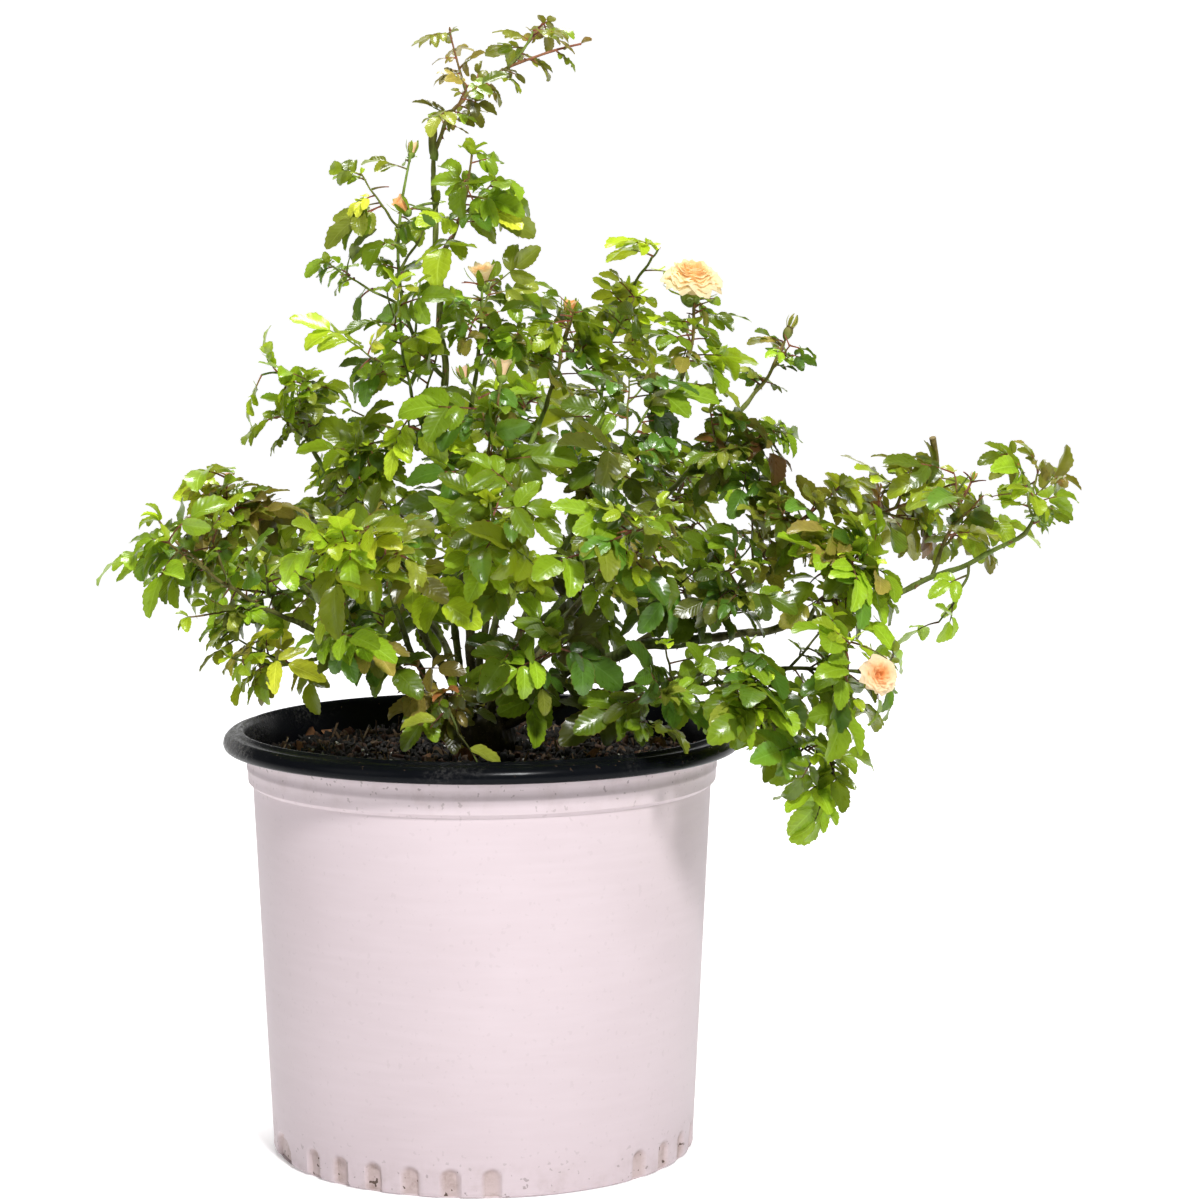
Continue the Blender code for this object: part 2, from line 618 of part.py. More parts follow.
def in_space(point, name, space_map):
    """Whether the stem nearest to a point is the named spray's."""
    tree, owners = space_map
    place, number, distance = tree.find(point)
    return owners[number] == name


def clear_of_pot(point):
    """Whether a point is above the rim, outside the pot, or inside it above the soil."""
    if point.z > POT_HEIGHT + POT_MARGIN:
        return True
    reach = math.hypot(point.x, point.y)
    if reach > RIM_RADIUS + POT_MARGIN:
        return True
    return reach < RIM_MOUTH_RADIUS - 3 * POT_MARGIN and point.z > SOIL_TOP + 2 * POT_MARGIN


# %% sprays: the solids ---------------------------------------------------------------------
def add_leaf(bm, leaf):
    """A leaf of eight faces, thickest near its root, which lies inside its twig."""
    heading, face = leaf_axes(leaf)
    beside = face.cross(heading)
    bmesh.ops.create_uvsphere(bm, u_segments=4, v_segments=2, radius=1.0)
    for vert in bm.verts:
        x, y, z = [round(part) for part in vert.co]
        forward = 0.5 + 0.5 * x
        if y:
            forward = LEAF_WIDEST
        if z:
            forward = LEAF_THICKEST
        place = leaf.root + heading * leaf.length * forward
        vert.co = place + beside * y * leaf.length * LEAF_WIDTH / 2 + face * z * LEAF_THICKNESS


def tree_of(bm):
    bm.normal_update()
    return BVHTree.FromBMesh(bm)


def limb_tree(paths):
    """Every cane, fattened by the clearance that twigs and leaves keep from it."""
    bm = bmesh.new()
    for path in paths.values():
        points, radii = cane_rings(path, LIMB_MARGIN)
        points[0] -= (points[1] - points[0]).normalized() * LIMB_MARGIN
        points[-1] += (points[-1] - points[-2]).normalized() * LIMB_MARGIN
        add_tube(bm, points, radii, CANE_SIDES)
    bmesh.ops.create_icosphere(
        bm, subdivisions=2, radius=CROWN_RADIUS + LIMB_MARGIN,
        matrix=Matrix.Translation(crown_middle()))
    tree = tree_of(bm)
    bm.free()
    return tree


def shoot_mesh(shoot, margin=0.0):
    bm = bmesh.new()
    count = len(shoot.points) - 1
    taper = shoot.tip_radius - shoot.foot_radius
    radii = [shoot.foot_radius + taper * k / count + margin for k in range(count + 1)]
    add_tube(bm, shoot.points, radii, 3)
    return bm


def ending_mesh(spray, stem, margin=0.0):
    """The bloom, bud or hip at a stem's tip, which lies inside it."""
    bm = bmesh.new()
    if spray.ending in ENDINGS:
        radius, sides, profile = ENDINGS[spray.ending]
        slope = (stem.points[-1] - stem.points[-2]).normalized()
        look = Vector(LOOKS.get(spray.name, slope + UP * ENDING_LIFT)).normalized()
        points = [stem.points[-1] + look * radius * along for out, along in profile]
        radii = [radius * out + margin for out, along in profile]
        add_tube(bm, points, radii, sides)
    return bm


def fits(bm, name, space_map, obstacles):
    """Whether a new piece stays in its spray's space and touches none of the obstacles."""
    middle = sum((vert.co for vert in bm.verts), Vector()) / len(bm.verts)
    for vert in bm.verts:
        if not clear_of_pot(vert.co):
            return False
        if not in_space(vert.co.lerp(middle, SPACE_EDGE), name, space_map):
            return False
    piece = tree_of(bm)
    return not any(piece.overlap(obstacle) for obstacle in obstacles)


def build_spray(spray, growth, space_map, obstacles, taken):
    """Fuse a stem with the twigs and leaves that fit; what is kept is added to taken."""
    shoots, leaves = growth
    item = add_object(spray.name, shoot_mesh(shoots[0]), spray.tint)
    shoot_trees = {0: tree_of(shoot_mesh(shoots[0]))}
    ending = ending_mesh(spray, shoots[0])
    leaf_trees = [tree_of(ending)]
    pieces = [add_object("ending", ending, spray.tint)] if spray.ending in ENDINGS else []
    for number, shoot in enumerate(shoots[1:], start=1):
        bm = shoot_mesh(shoot)
        if fits(bm, spray.name, space_map, obstacles + taken):
            shoot_trees[number] = tree_of(bm)
            pieces.append(add_object("twig", bm, spray.tint))
        else:
            bm.free()
    for leaf in leaves:
        if leaf.shoot not in shoot_trees:
            continue
        near = [tree for number, tree in shoot_trees.items() if number != leaf.shoot]
        for attempt in range(LEAF_TRIES):
            bm = bmesh.new()
            add_leaf(bm, leaf._replace(turn=leaf.turn + attempt * LEAF_TURN))
            if fits(bm, spray.name, space_map, obstacles + taken + near + leaf_trees):
                leaf_trees.append(tree_of(bm))
                pieces.append(add_object("leaf", bm, spray.tint))
                break
            bm.free()
    taken += list(shoot_trees.values()) + leaf_trees
    apply_boolean(item, pieces, "UNION")


def main():
    clear_scene()
    build_pot()
    build_soil()
    add_object("root_crown", crown_mesh(), "cane_old")
    paths = all_cane_paths()
    for cane in CANES:
        build_cane(cane, paths[cane.name])
    growths = {}
    for number, spray in enumerate(SPRAYS):
        growths[spray.name] = grow_spray(spray, paths, SEED + number)
    stems = {name: shoots[0] for name, (shoots, leaves) in growths.items()}
    space_map = map_spaces(stems)
    limbs = limb_tree(paths)
    taken = []
    for spray in SPRAYS:
        obstacles = [limbs]
        for other in SPRAYS:
            if other is not spray:
                stem = stems[other.name]
                obstacles.append(tree_of(shoot_mesh(stem, LIMB_MARGIN)))
                obstacles.append(tree_of(ending_mesh(other, stem, LIMB_MARGIN)))
        build_spray(spray, growths[spray.name], space_map, obstacles, taken)


main()
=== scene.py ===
# %% [markdown]
# # A patio rose in its nursery pot
# A young rose bush stands in the pot it was grown in.  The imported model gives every
# place and size, so it is loaded first and its box is kept to compare with at the end.
# Each part of the bush is then grown again by the same rule, with real leaves.

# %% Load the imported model
import json
import math
import random
from collections import namedtuple

import bmesh
import bpy
import numpy as np
from mathutils import Euler, Matrix, Vector
from mathutils.bvhtree import BVHTree
from mathutils.kdtree import KDTree

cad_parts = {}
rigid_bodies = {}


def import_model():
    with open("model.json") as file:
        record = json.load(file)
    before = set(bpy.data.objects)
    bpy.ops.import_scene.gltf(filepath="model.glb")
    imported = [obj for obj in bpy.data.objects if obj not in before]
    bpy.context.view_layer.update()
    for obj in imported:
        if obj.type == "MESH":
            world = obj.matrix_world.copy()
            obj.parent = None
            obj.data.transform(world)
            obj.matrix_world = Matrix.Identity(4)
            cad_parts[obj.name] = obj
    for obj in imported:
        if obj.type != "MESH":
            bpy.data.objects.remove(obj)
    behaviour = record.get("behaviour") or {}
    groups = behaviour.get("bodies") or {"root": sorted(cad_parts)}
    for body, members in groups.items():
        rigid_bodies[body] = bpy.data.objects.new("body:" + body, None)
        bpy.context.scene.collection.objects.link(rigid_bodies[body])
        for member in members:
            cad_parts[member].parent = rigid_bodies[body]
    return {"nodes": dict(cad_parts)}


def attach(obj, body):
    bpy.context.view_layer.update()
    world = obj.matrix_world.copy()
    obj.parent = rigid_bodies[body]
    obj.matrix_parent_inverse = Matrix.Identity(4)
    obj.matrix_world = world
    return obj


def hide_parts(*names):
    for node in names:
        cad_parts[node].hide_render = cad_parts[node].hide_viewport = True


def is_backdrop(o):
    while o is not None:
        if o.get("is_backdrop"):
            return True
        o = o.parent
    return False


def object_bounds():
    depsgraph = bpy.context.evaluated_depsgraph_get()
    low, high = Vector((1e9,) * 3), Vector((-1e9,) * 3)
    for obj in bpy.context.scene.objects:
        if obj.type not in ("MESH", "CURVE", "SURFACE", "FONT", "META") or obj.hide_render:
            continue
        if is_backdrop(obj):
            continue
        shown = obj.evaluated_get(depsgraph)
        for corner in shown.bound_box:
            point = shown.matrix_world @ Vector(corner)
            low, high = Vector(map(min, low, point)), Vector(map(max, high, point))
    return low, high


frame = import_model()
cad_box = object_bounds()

MM = 0.001
UP = Vector((0.0, 0.0, 1.0))
print(len(frame["nodes"]), "nodes in a box from", cad_box[0], "to", cad_box[1])

# %% [markdown]
# ## Camera, floor and light
# A long lens from nearly two metres away keeps the pot's sides almost upright.  The pot
# stands on one pale sheet that curves up behind it, so no horizon cuts the background.
# The light is a soft studio's: the paper glows from behind, one lamp at the upper right
# gives the leaves their highlights, one above them lights the crown, and a weak wide
# one at the left fills the shadows.

# %% Camera
CAMERA_LENS = 100                             # millimetres, like the sensor's width
CAMERA_SENSOR = 36
CAMERA_PLACE = (0.065, -1.8234, 0.4999)
CAMERA_DIP = 6.125                            # degrees below level
camera_data = bpy.data.cameras.new("camera")
camera_data.lens = CAMERA_LENS
camera_data.sensor_width = CAMERA_SENSOR
camera = bpy.data.objects.new("camera", camera_data)
camera.location = CAMERA_PLACE
camera.rotation_euler = Euler((math.radians(90 - CAMERA_DIP), 0, 0))
bpy.context.scene.collection.objects.link(camera)
bpy.context.scene.camera = camera
bpy.context.scene.view_settings.view_transform = "Standard"
print("the camera looks down by", CAMERA_DIP, "degrees from", CAMERA_PLACE)


# %% A class for shader maths
OBJECT_PLACE = 3           # the Texture Coordinate output that gives Object coordinates
MIXED_COLOUR = 2           # the Mix output that carries a colour


class Shade:
    """One socket of a material's nodes, which Python's sums can be done on."""

    def __init__(self, tree, socket=None):
        self.tree = tree
        self.socket = socket

    def node(self, kind, settings=None, output=0, **values):
        """Add any node: its settings first, then the value or link of each socket."""
        made = self.tree.nodes.new("ShaderNode" + kind)
        for name, setting in (settings or {}).items():
            setattr(made, name, setting)
        for name, value in values.items():
            key = int(name[1:]) if name[1:].isdigit() else name.replace("_", " ")
            target = made.inputs[key]
            if isinstance(value, Shade):
                self.tree.links.new(value.socket, target)
            elif isinstance(value, tuple) and len(value) == 3 and target.type == "RGBA":
                target.default_value = (*value, 1.0)
            else:
                target.default_value = value
        return Shade(self.tree, made.outputs[output])

    def math(self, operation, first, second=0.0):
        return self.node("Math", {"operation": operation}, _0=first, _1=second)

    def __add__(self, other):
        return self.math("ADD", self, other)

    def __mul__(self, other):
        return self.math("MULTIPLY", self, other)

    def __sub__(self, other):
        return self.math("SUBTRACT", self, other)

    def __rsub__(self, other):
        return self.math("SUBTRACT", other, self)

    __radd__ = __add__
    __rmul__ = __mul__

    def fit(self, low, high):
        """Where this lies between two values, as a smooth step from 0 to 1."""
        return self.node("MapRange", {"interpolation_type": "SMOOTHSTEP"},
                         Value=self, From_Min=low, From_Max=high)

    def mix(self, first, second):
        """A colour that goes from the first to the second as this goes from 0 to 1."""
        return self.node("Mix", {"data_type": "RGBA"}, output=MIXED_COLOUR,
                         _0=self, _6=first, _7=second)

    def part(self, axis):
        """The x, y or z of a vector."""
        return self.node("SeparateXYZ", output="xyz".index(axis), Vector=self)

    def place(self):
        """Where a point lies, in the object's own coordinates."""
        return self.node("TexCoord", output=OBJECT_PLACE)

    def stretched(self, place, across, along):
        """A place scaled more or less along z, so that a noise on it turns to streaks."""
        return self.node("Mapping", Vector=place, Scale=(across, across, along))

    def kept(self, layer):
        """The colour that a mesh keeps for each of its points."""
        return self.node("VertexColor", {"layer_name": layer})

    def toned(self, value, saturation=1.0):
        """The same colour, lighter or darker, and more or less vivid."""
        return self.node("HueSaturation", Color=self, Value=value, Saturation=saturation)

    def noise(self, place, scale, detail=3.0, rough=0.5):
        return self.node("TexNoise", Vector=place, Scale=scale, Detail=detail, Roughness=rough)

    def bump(self, height, distance, strength=1.0):
        return self.node("Bump", Height=height, Distance=distance, Strength=strength)


def new_finish(name, build, rough, through=0.0, glow=None, **sockets):
    """A material: build() returns what varies, and the rest are plain socket values."""
    material = bpy.data.materials.new(name)
    material.use_nodes = True
    tree = material.node_tree
    shader = tree.nodes["Principled BSDF"]
    shade = Shade(tree)
    shader.inputs["Roughness"].default_value = rough
    for socket, value in sockets.items():
        shader.inputs[socket.replace("_", " ")].default_value = value
    for socket, value in build(shade).items():
        tree.links.new(value.socket, shader.inputs[socket.replace("_", " ")])
    if through:
        behind = shade.node("BsdfTranslucent", Color=glow)
        front = Shade(tree, shader.outputs["BSDF"])
        both = shade.node("MixShader", _0=through, _1=front, _2=behind)
        tree.links.new(both.socket, tree.nodes["Material Output"].inputs["Surface"])
    return material


print("shader helpers ready")

# %% Floor and backdrop
def extruded(bm, edges):
    """Draw edges out into a strip of faces; gives the new vertices and edges to move."""
    geom = bmesh.ops.extrude_edge_only(bm, edges=edges)["geom"]
    return ([part for part in geom if isinstance(part, bmesh.types.BMVert)],
            [part for part in geom if isinstance(part, bmesh.types.BMEdge)])


FLOOR_REACH = 6.0
FLOOR_BACK = 3.0                              # how far short of its reach the floor curves up
PAPER_CURVE = 2.0
PAPER_STEPS = 16
PAPER_GLOW = 0.68
WORLD_GLOW = 0.10


def pale_paper(shade):
    """White paper, lit from behind where it leaves the pot and curves up."""
    place = shade.place()
    grain = shade.noise(place, 40.0)
    far = place.part("y").fit(0.1, 2.2)
    return {"Base Color": grain.mix((0.93, 0.93, 0.93), (0.95, 0.95, 0.95)),
            "Emission Color": far.mix((0.36, 0.36, 0.36), (1.0, 1.0, 1.0))}


bm = bmesh.new()
start = bm.verts.new((-FLOOR_REACH, -FLOOR_REACH, 0))
across = bm.verts.new((FLOOR_REACH, -FLOOR_REACH, 0))
verts, edges = extruded(bm, [bm.edges.new((start, across))])
bmesh.ops.translate(bm, verts=verts, vec=(0, 2 * FLOOR_REACH - FLOOR_BACK, 0))
bmesh.ops.spin(bm, geom=edges, cent=(0, FLOOR_REACH - FLOOR_BACK, PAPER_CURVE), axis=(1, 0, 0),
               angle=math.pi / 2, steps=PAPER_STEPS)
bmesh.ops.recalc_face_normals(bm, faces=bm.faces)
paper_mesh = bpy.data.meshes.new("studio_paper")
bm.to_mesh(paper_mesh)
bm.free()
paper_mesh.shade_smooth()
paper = bpy.data.objects.new("studio_paper", paper_mesh)
bpy.context.scene.collection.objects.link(paper)
paper_finish = new_finish("studio_paper", pale_paper, 0.9, Emission_Strength=PAPER_GLOW)
paper_mesh.materials.append(paper_finish)
paper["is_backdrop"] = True
print("the paper reaches", FLOOR_REACH, "m each way and curves up behind the pot")

# %% World and lamps
world = bpy.data.worlds.new("studio")
bpy.context.scene.world = world
world.use_nodes = True
sky = world.node_tree.nodes["Background"].inputs
sky["Color"].default_value = (1, 1, 1, 1)
sky["Strength"].default_value = WORLD_GLOW

LAMP_TARGET = Vector((0.05, 0, 0.3))
LAMPS = (
    ("key", (0.6, -1.8, 2.0), 0.45, 64),
    ("fill", (-1.7, -1.2, 1.1), 1.4, 4),
    ("top", (-0.2, 0.6, 2.1), 0.8, 36),
)
for name, place, size, power in LAMPS:
    lamp_data = bpy.data.lights.new(name, "AREA")
    lamp_data.shape = "DISK"
    lamp_data.size = size
    lamp_data.energy = power
    lamp = bpy.data.objects.new(name, lamp_data)
    lamp.location = place
    lamp.rotation_euler = (LAMP_TARGET - Vector(place)).to_track_quat("-Z", "Y").to_euler()
    bpy.context.scene.collection.objects.link(lamp)
print(len(LAMPS), "lamps and a white world")

# %% [markdown]
# ## From a bmesh to a finished piece
# Every piece is closed up in the same way: its mesh gets a name and a material, it rides
# on the one body, and the solids it stands for are hidden.

# %% Helpers for pieces
def finish_piece(mesh, material, slot, *nodes):
    """Put a mesh in the scene as a piece that stands for the named nodes."""
    mesh.materials.append(material)
    piece = bpy.data.objects.new(mesh.name, mesh)
    bpy.context.scene.collection.objects.link(piece)
    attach(piece, "root")
    if nodes:
        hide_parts(*nodes)
    print(f"{mesh.name}: {sum(len(f.vertices) - 2 for f in mesh.polygons)} triangles")


def mesh_from(bm, name, sharp):
    """A smooth-shaded mesh with creases kept where faces meet at more than an angle."""
    bmesh.ops.recalc_face_normals(bm, faces=bm.faces)
    mesh = bpy.data.meshes.new(name)
    bm.to_mesh(mesh)
    bm.free()
    mesh.shade_smooth()
    mesh.set_sharp_from_angle(angle=math.radians(sharp))
    return mesh


Pattern = namedtuple("Pattern", "coords loops starts")


def pattern_from(bm):
    """The points and faces of a small shape as arrays, ready to be copied many times."""
    bm.verts.index_update()
    coords = np.array([vert.co[:] for vert in bm.verts])
    loops = np.array([vert.index for face in bm.faces for vert in face.verts])
    sizes = np.array([len(face.verts) for face in bm.faces])
    bm.free()
    return Pattern(coords, loops, np.cumsum(sizes) - sizes)


def join_copies(name, pattern, places):
    """One mesh of many copies; places holds every copy's points."""
    count, points = places.shape[:2]
    shift = np.arange(count)[:, None]
    loops = (pattern.loops[None] + shift * points).ravel()
    starts = (pattern.starts[None] + shift * len(pattern.loops)).ravel()
    mesh = bpy.data.meshes.new(name)
    mesh.vertices.add(count * points)
    mesh.vertices.foreach_set("co", places.astype(np.float32).ravel())
    mesh.loops.add(len(loops))
    mesh.loops.foreach_set("vertex_index", loops.astype(np.int32))
    mesh.polygons.add(len(starts))
    mesh.polygons.foreach_set("loop_start", starts.astype(np.int32))
    mesh.update(calc_edges=True)
    mesh.shade_smooth()
    return mesh


def share_grid(steps, strips):
    """A flat grid whose x is the share along a blade and y the share across, from -1 to 1."""
    bm = bmesh.new()
    bmesh.ops.create_grid(bm, x_segments=steps, y_segments=strips, size=1.0)
    for vert in bm.verts:
        vert.co.x = vert.co.x / 2 + 0.5
    return pattern_from(bm)


def random_vector(chance, reach):
    """A vector whose three parts are each drawn from -reach to reach."""
    return Vector([chance.uniform(-reach, reach) for axis in range(3)])


def paint(mesh, name, colours):
    """Keep one colour for each point of a mesh."""
    layer = mesh.color_attributes.new(name, "FLOAT_COLOR", "POINT")
    full = np.ones((len(mesh.vertices), 4), np.float32)
    full[:, :3] = colours
    layer.data.foreach_set("color", full.ravel())


print("piece helpers ready")

# %% [markdown]
# ## The pot
# The pot is blown from pink plastic inside a mould: a short collar, a step, and a body
# that narrows to the foot, with a row of shallow round-topped recesses there that keep
# the drainage holes off the ground.  A turned part is quickest as a profile that is spun
# about the middle.  The recesses are pressed in afterwards by moving the fine wall
# inward under a soft-edged arch, which gives the rounded lips of moulded plastic.

# %% Pot body
POT_HEIGHT = 235 * MM
RIM_RADIUS = 142.5 * MM
MOUTH_RADIUS = 132.5 * MM
SOIL_TOP = 218 * MM
FOOT_RADIUS = 117.1                           # millimetres, as the profiles are
WALL_SLOPE = 0.0472
POT_STEPS = 480
RECESS_STEP = 10.7                            # degrees, like the bearings below
RECESSES = [first + RECESS_STEP * k + turn for turn in (0, 180)
            for first, count in ((-49.5, 6), (47.5, 5)) for k in range(count)]
RECESS_SIZE = (9.2, 15.8, 2.6)                # width, top and softness in millimetres
NOTCHES = (-68.0, 112.0)
NOTCH_SIZE = (25, 15.5, 2.6)
NOTCH_DEPTH = 1.3                             # set against a recess's
PRESS_DEPTH = 2.1
PRESS_TOP = 24                                # the press works below this height
PRESS_INSIDE = 116.0                          # and outside this radius


def profile_bmesh(profile):
    """A chain of edges through places (radius, height) in millimetres."""
    bm = bmesh.new()
    chain = [bm.verts.new((radius * MM, 0, height * MM)) for radius, height in profile]
    for first, second in zip(chain, chain[1:]):
        bm.edges.new((first, second))
    return bm


def spin_profile(bm, steps):
    """Spin an open profile a full turn about the vertical, and close its ends."""
    bmesh.ops.spin(bm, geom=bm.verts[:] + bm.edges[:], cent=(0, 0, 0), axis=(0, 0, 1),
                   angle=math.tau, steps=steps, use_merge=True)
    bmesh.ops.remove_doubles(bm, verts=bm.verts, dist=1e-6)
    open_edges = [edge for edge in bm.edges if edge.is_boundary]
    if open_edges:
        bmesh.ops.holes_fill(bm, edges=open_edges)


def arch(bearing, height, middle, width, top, soft):
    """How far a place lies inside a round-topped arch: 1 inside, 0 outside."""
    across = abs((bearing - middle + 180) % 360 - 180) * math.radians(1) * FOOT_RADIUS
    above = max(0.0, height - (top - width / 2))
    reach = math.hypot(across, above) - width / 2
    share = min(1.0, max(0.0, 0.5 - reach / soft))
    return share * share * (3 - 2 * share)


body_profile = [(0, 3.0), (113.0, 3.0), (113.4, 0.0), (114.6, 0.2), (116.2, 1.2), (117.0, 3.0)]
body_profile += [(FOOT_RADIUS + WALL_SLOPE * (z - 9), z)
                 for z in (*np.arange(4.2, 24, 1.1), *np.arange(28, 200, 9))]
body_profile += [(126.2, 202.0), (126.4, 204.2), (127.6, 205.4), (128.9, 206.4), (129.1, 208.4),
                 (129.2, 212.0), (129.6, 213.0), (129.7, 214.4), (129.3, 215.6), (129.4, 218.0),
                 (129.7, 220.0), (130.3, 221.0), (130.4, 224.6), (129.9, 224.8), (127.6, 207.0),
                 (125.4, 203.0), (114.6, 12.0), (113.4, 8.0), (0, 8.0)]
bm = profile_bmesh(body_profile)
spin_profile(bm, POT_STEPS)
scoops = [0.0] * len(bm.verts)
for number, vert in enumerate(bm.verts):
    out = math.hypot(vert.co.x, vert.co.y) / MM
    height = vert.co.z / MM
    if out < PRESS_INSIDE or height > PRESS_TOP:
        continue
    bearing = math.degrees(math.atan2(vert.co.x, -vert.co.y))
    recess = max(arch(bearing, height, middle, *RECESS_SIZE) for middle in RECESSES)
    notch = max(arch(bearing, height, middle, *NOTCH_SIZE) for middle in NOTCHES)
    press = max(recess, NOTCH_DEPTH * notch)
    scoops[number] = min(1.0, press)
    vert.co.xy *= 1 - PRESS_DEPTH * press / out
pot_mesh = mesh_from(bm, "pot_body", 30)
paint(pot_mesh, "scoop", np.array(scoops)[:, None])
print("pot wall pressed in at", len(RECESSES), "recesses and", len(NOTCHES), "notches")


# %% Pink plastic
def pink_plastic(shade):
    """Satin moulded plastic: faint drawn streaks, fine scuffs, a little garden dirt, and painted shade
    with brown dirt in the foot recesses.
    """
    place = shade.place()
    height = place.part("z")
    ring = shade.stretched(place, 1.0, 9.0)
    streaks = shade.noise(ring, 26.0, 4.0)
    cloud = shade.noise(place, 9.0, 3.0)
    pores = shade.noise(place, 900.0, 2.0)
    specks = shade.noise(place, 330.0, 1.0).fit(0.675, 0.71)
    scoop = shade.kept("scoop").part("x")
    dirt_zone = height.fit(0.030, 0.0) * 0.5 + height.fit(0.196, 0.222) * 0.45 + scoop
    grime = shade.noise(place, 55.0, 6.0, 0.7).fit(0.45, 0.74) * dirt_zone
    colour = cloud.fit(0.3, 0.7).mix((0.60, 0.506, 0.534), (0.633, 0.537, 0.567))
    colour = (streaks.fit(0.35, 0.75) * 0.35).mix(colour, (0.667, 0.573, 0.605))
    # the recesses are painted darker and browner: garden dirt and painted shade
    colour = (scoop * 0.60).mix(colour, (0.49, 0.375, 0.345))
    colour = (grime * 0.58).mix(colour, (0.28, 0.195, 0.155))
    colour = (specks * (0.06 + dirt_zone * 0.90)).mix(colour, (0.10, 0.065, 0.05))
    rough = 0.44 + streaks * 0.16 + grime * 0.25
    relief = streaks * 0.5 + pores * 0.12 + grime * 0.6
    return {"Base Color": colour, "Roughness": rough, "Normal": shade.bump(relief, 0.0004, 0.6)}


pink = new_finish("pink_plastic", pink_plastic, 0.5, Specular_IOR_Level=0.4)
finish_piece(pot_mesh, pink, "pot_plastic", "pot")

# %% [markdown]
# ## The black rim
# The rim is the black inner layer of the pot, rolled outward.  Seen close, a raised bead
# runs round the mouth, then the top falls away to a soft ridge and curls under.  The
# same black layer lines the pot down to the soil, so both are one spun profile.

# %% Rim and lining
rim_profile = [(122.8, 198.0), (125.0, 206.5), (128.4, 222.0), (130.5, 231.2), (131.2, 233.6),
               (132.2, 234.6), (133.0, 235.0), (133.8, 234.7), (134.5, 233.9), (135.8, 233.3),
               (137.6, 233.0), (138.6, 233.0), (139.4, 232.5), (140.6, 231.4), (141.6, 230.2),
               (142.2, 228.6), (142.4, 226.9), (142.0, 225.3), (141.2, 224.4), (140.2, 224.3),
               (139.4, 225.0), (138.6, 226.2), (134.5, 226.9), (130.6, 226.6), (129.5, 224.9),
               (126.4, 206.0), (124.0, 198.4)]
RIM_STEPS = 256
bm = profile_bmesh(rim_profile + rim_profile[:1])
bmesh.ops.remove_doubles(bm, verts=bm.verts, dist=1e-6)
spin_profile(bm, RIM_STEPS)
rim_mesh = mesh_from(bm, "pot_rim", 50)


def black_plastic(shade):
    """Glossy black polythene, rubbed and given a painted highlight along the top of its bead, and dusty
    with dry compost in places.
    """
    place = shade.place()
    height = place.part("z")
    scuffs = shade.noise(shade.stretched(place, 1.0, 4.0), 70.0, 5.0, 0.6)
    dust_patch = shade.noise(place, 14.0, 3.0).fit(0.50, 0.70)
    left_end = place.part("x").fit(-0.115, -0.140)
    dust_grain = shade.noise(place, 420.0, 4.0, 0.7).fit(0.42, 0.68)
    dust = (dust_patch * 0.30 + left_end * 0.75) * dust_grain * height.fit(0.218, 0.231)
    crumbs = shade.noise(place, 330.0, 1.0).fit(0.72, 0.75) * height.fit(0.226, 0.233)
    # the crest of the bead is painted paler: rubbed wear and a painted highlight
    rubbed_and_highlight = scuffs.fit(0.52, 0.72) * height.fit(0.2335, 0.2350)
    colour = (scuffs * 0.6).mix((0.0025, 0.0030, 0.0042), (0.0060, 0.0070, 0.0092))
    colour = (rubbed_and_highlight * 0.4).mix(colour, (0.040, 0.046, 0.052))
    colour = dust.mix(colour, (0.30, 0.285, 0.27))
    colour = crumbs.mix(colour, (0.055, 0.035, 0.022))
    rough = 0.15 + scuffs * 0.18 + dust * 0.45
    relief = scuffs * 0.4 + dust_grain * dust + crumbs
    return {"Base Color": colour, "Roughness": rough, "Normal": shade.bump(relief, 0.0004, 0.5)}


black = new_finish("black_plastic", black_plastic, 0.35, Specular_IOR_Level=0.09)
finish_piece(rim_mesh, black, "pot_plastic", "pot")

# %% [markdown]
# ## Potting soil
# The pot is filled with a dark bark-based mix that has sunk below the rim.  Its surface
# is a fine disc, heaped towards the crown and roughened with hills of noise.  On it lie
# bark chips, white specks of perlite and curled dead leaves: each is one small shape
# that is copied, turned and scaled by the thousand as arrays, then joined.

# %% Soil surface
from mathutils import noise

SOIL_SEED = 5
SOIL_RADIUS = 127.3
SOIL_SIDES = 220
SOIL_RINGS = np.linspace(125.4, 3.0, 70)
SKIRT_HEIGHT = 200 * MM                       # the soil's edge goes down out of sight
CROWN_RADIUS = 19 * MM
soil_chance = random.Random(SOIL_SEED)


def soil_height(x, y):
    """Height of the soil: heaped at the middle, lower at the wall, with lumps."""
    out = math.hypot(x, y) / (124 * MM)
    heap = 221.0 - 2.2 * min(1, out * 1.4) - 2.5 * max(0, out - 0.72) / 0.28
    place = Vector((x, y, 0))
    lumps = 2.6 * noise.noise(place * 38) + 1.5 * noise.noise(place * 95)
    crumbs = 0.8 * noise.noise(place * 260) + 0.5 * noise.noise(place * 520)
    return min(223.0, heap + lumps + crumbs) * MM


bm = bmesh.new()
bmesh.ops.create_circle(bm, cap_ends=False, segments=SOIL_SIDES, radius=SOIL_RADIUS * MM)
edges = bm.edges[:]
for radius in SOIL_RINGS:
    verts, edges = extruded(bm, edges)
    for vert in verts:
        vert.co = vert.co.normalized() * radius * MM
bmesh.ops.holes_fill(bm, edges=edges)
for vert in bm.verts:
    vert.co.z = soil_height(vert.co.x, vert.co.y)
verts, edges = extruded(bm, [edge for edge in bm.edges if edge.is_boundary])
for vert in verts:
    vert.co = Vector((vert.co.x * 0.92, vert.co.y * 0.92, SKIRT_HEIGHT))
bmesh.ops.holes_fill(bm, edges=edges)
soil_mesh = mesh_from(bm, "soil_surface", 80)


